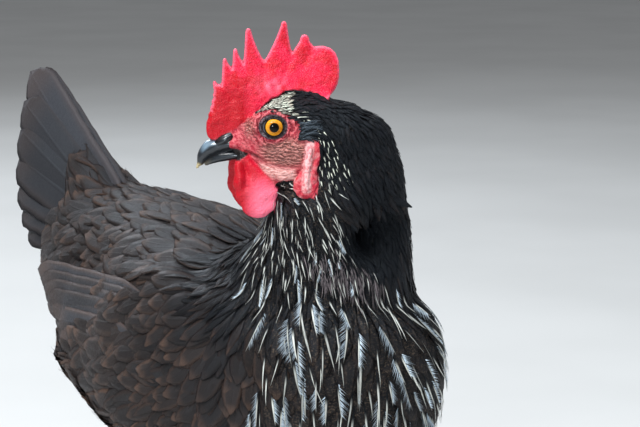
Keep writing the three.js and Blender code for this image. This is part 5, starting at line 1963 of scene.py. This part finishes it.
LIGHTS = (
    # name, place, what it points at, watts, size, tint
    ("key", (-1.5, -0.5, 2.1), (0, 0, 0.22), 46, 0.7, (1.0, 0.985, 0.96)),
    ("overhead", (-0.3, -0.2, 1.7), (0, 0, 0.22), 26, 1.2, SKY),
    ("fill", (1.6, -1.5, 1.1), (0, 0, 0.22), 4.5, 1.6, SKY),
    ("rim", (0.5, 1.9, 1.7), (0, 0, 0.22), 26, 0.9, SKY),
    ("catch", (-0.79, -0.80, 0.46), (-0.03, -0.1, 0.32), 3.6, 0.14, SKY),
)


BACKDROP = (0.93, 0.96, 1.0)
BACKDROP_STRENGTH = 0.26


class HEN_OT_stage(bpy.types.Operator):
    """Lays the floor and sets the lights and the camera"""

    bl_idname = "hen.stage"
    bl_label = "Stage"

    def execute(self, context):
        scene = context.scene
        towards, right, up = view_directions()
        head = Vector((HEAD_PLACE + SHIFT) * MM)
        target = head - right * AIM_OFFSET[0] - up * AIM_OFFSET[1]
        camera = linked("camera", bpy.data.cameras.new("camera"))
        camera.data.lens = CAMERA_LENS
        camera.data.clip_start = 0.05
        camera.location = target + towards * CAMERA_DISTANCE
        camera.rotation_euler = towards.to_track_quat("Z", "Y").to_euler()
        scene.camera = camera
        self.floor()
        for name, place, aim, power, size, tint in LIGHTS:
            lamp = linked(name, bpy.data.lights.new(name, "AREA"))
            lamp.data.energy, lamp.data.size, lamp.data.color = power, size, tint
            lamp.location = place
            lamp.rotation_euler = (Vector(place) - Vector(aim)).to_track_quat("Z", "Y").to_euler()
        scene.world = bpy.data.worlds.new("studio")
        scene.world.use_nodes = True
        background = scene.world.node_tree.nodes["Background"]
        background.inputs["Color"].default_value = (*BACKDROP, 1.0)
        background.inputs["Strength"].default_value = BACKDROP_STRENGTH
        scene.view_settings.view_transform = "Standard"
        return {"FINISHED"}

    def floor(self):
        """A wide square of pale floor."""
        corners = 20.0 * np.array([[-1, -1, 0], [1, -1, 0], [1, 1, 0], [-1, 1, 0]])
        mesh = mesh_of("floor", Shell(corners, [np.array([[0, 1, 2, 3]])]), metres=True)
        paint = Paint("pale floor")
        cloud = paint.noise(paint.object_place(), 3.0, 3.0)
        paint.set(Base_Color=paint.mix(paint.step(cloud, 0.3, 0.7), (0.60, 0.60, 0.59), (0.64, 0.64, 0.63)),
                  Roughness=0.85)
        mesh.materials.append(paint.material)
        linked("floor", mesh)


OPERATORS = (
    HEN_OT_stage, HEN_OT_skin, HEN_OT_eyes, HEN_OT_bill, HEN_OT_legs, HEN_OT_coat, HEN_OT_streaks,
    HEN_OT_hairs, HEN_OT_quills)


class HEN_PT_panel(bpy.types.Panel):
    """Lists the hen's settings and its pieces"""

    bl_label = "Laying hen"
    bl_idname = "HEN_PT_panel"
    bl_space_type = "VIEW_3D"
    bl_region_type = "UI"
    bl_category = "Hen"

    def draw(self, context):
        scene = context.scene
        for group in (scene.hen_sizes, scene.hen_colours):
            for name in group.__annotations__:
                self.layout.prop(group, name)
        for operator in OPERATORS:
            self.layout.operator(operator.bl_idname)


CLASSES = (HenSizes, HenColours, *OPERATORS, HEN_PT_panel)


def register():
    for cls in CLASSES:
        bpy.utils.register_class(cls)
    bpy.types.Scene.hen_sizes = PointerProperty(type=HenSizes)
    bpy.types.Scene.hen_colours = PointerProperty(type=HenColours)


def unregister():
    del bpy.types.Scene.hen_colours
    del bpy.types.Scene.hen_sizes
    for cls in reversed(CLASSES):
        bpy.utils.unregister_class(cls)


def main():
    register()
    for operator in OPERATORS:
        module, name = operator.bl_idname.split(".")
        getattr(getattr(bpy.ops, module), name)()


if __name__ == "__main__":
    main()
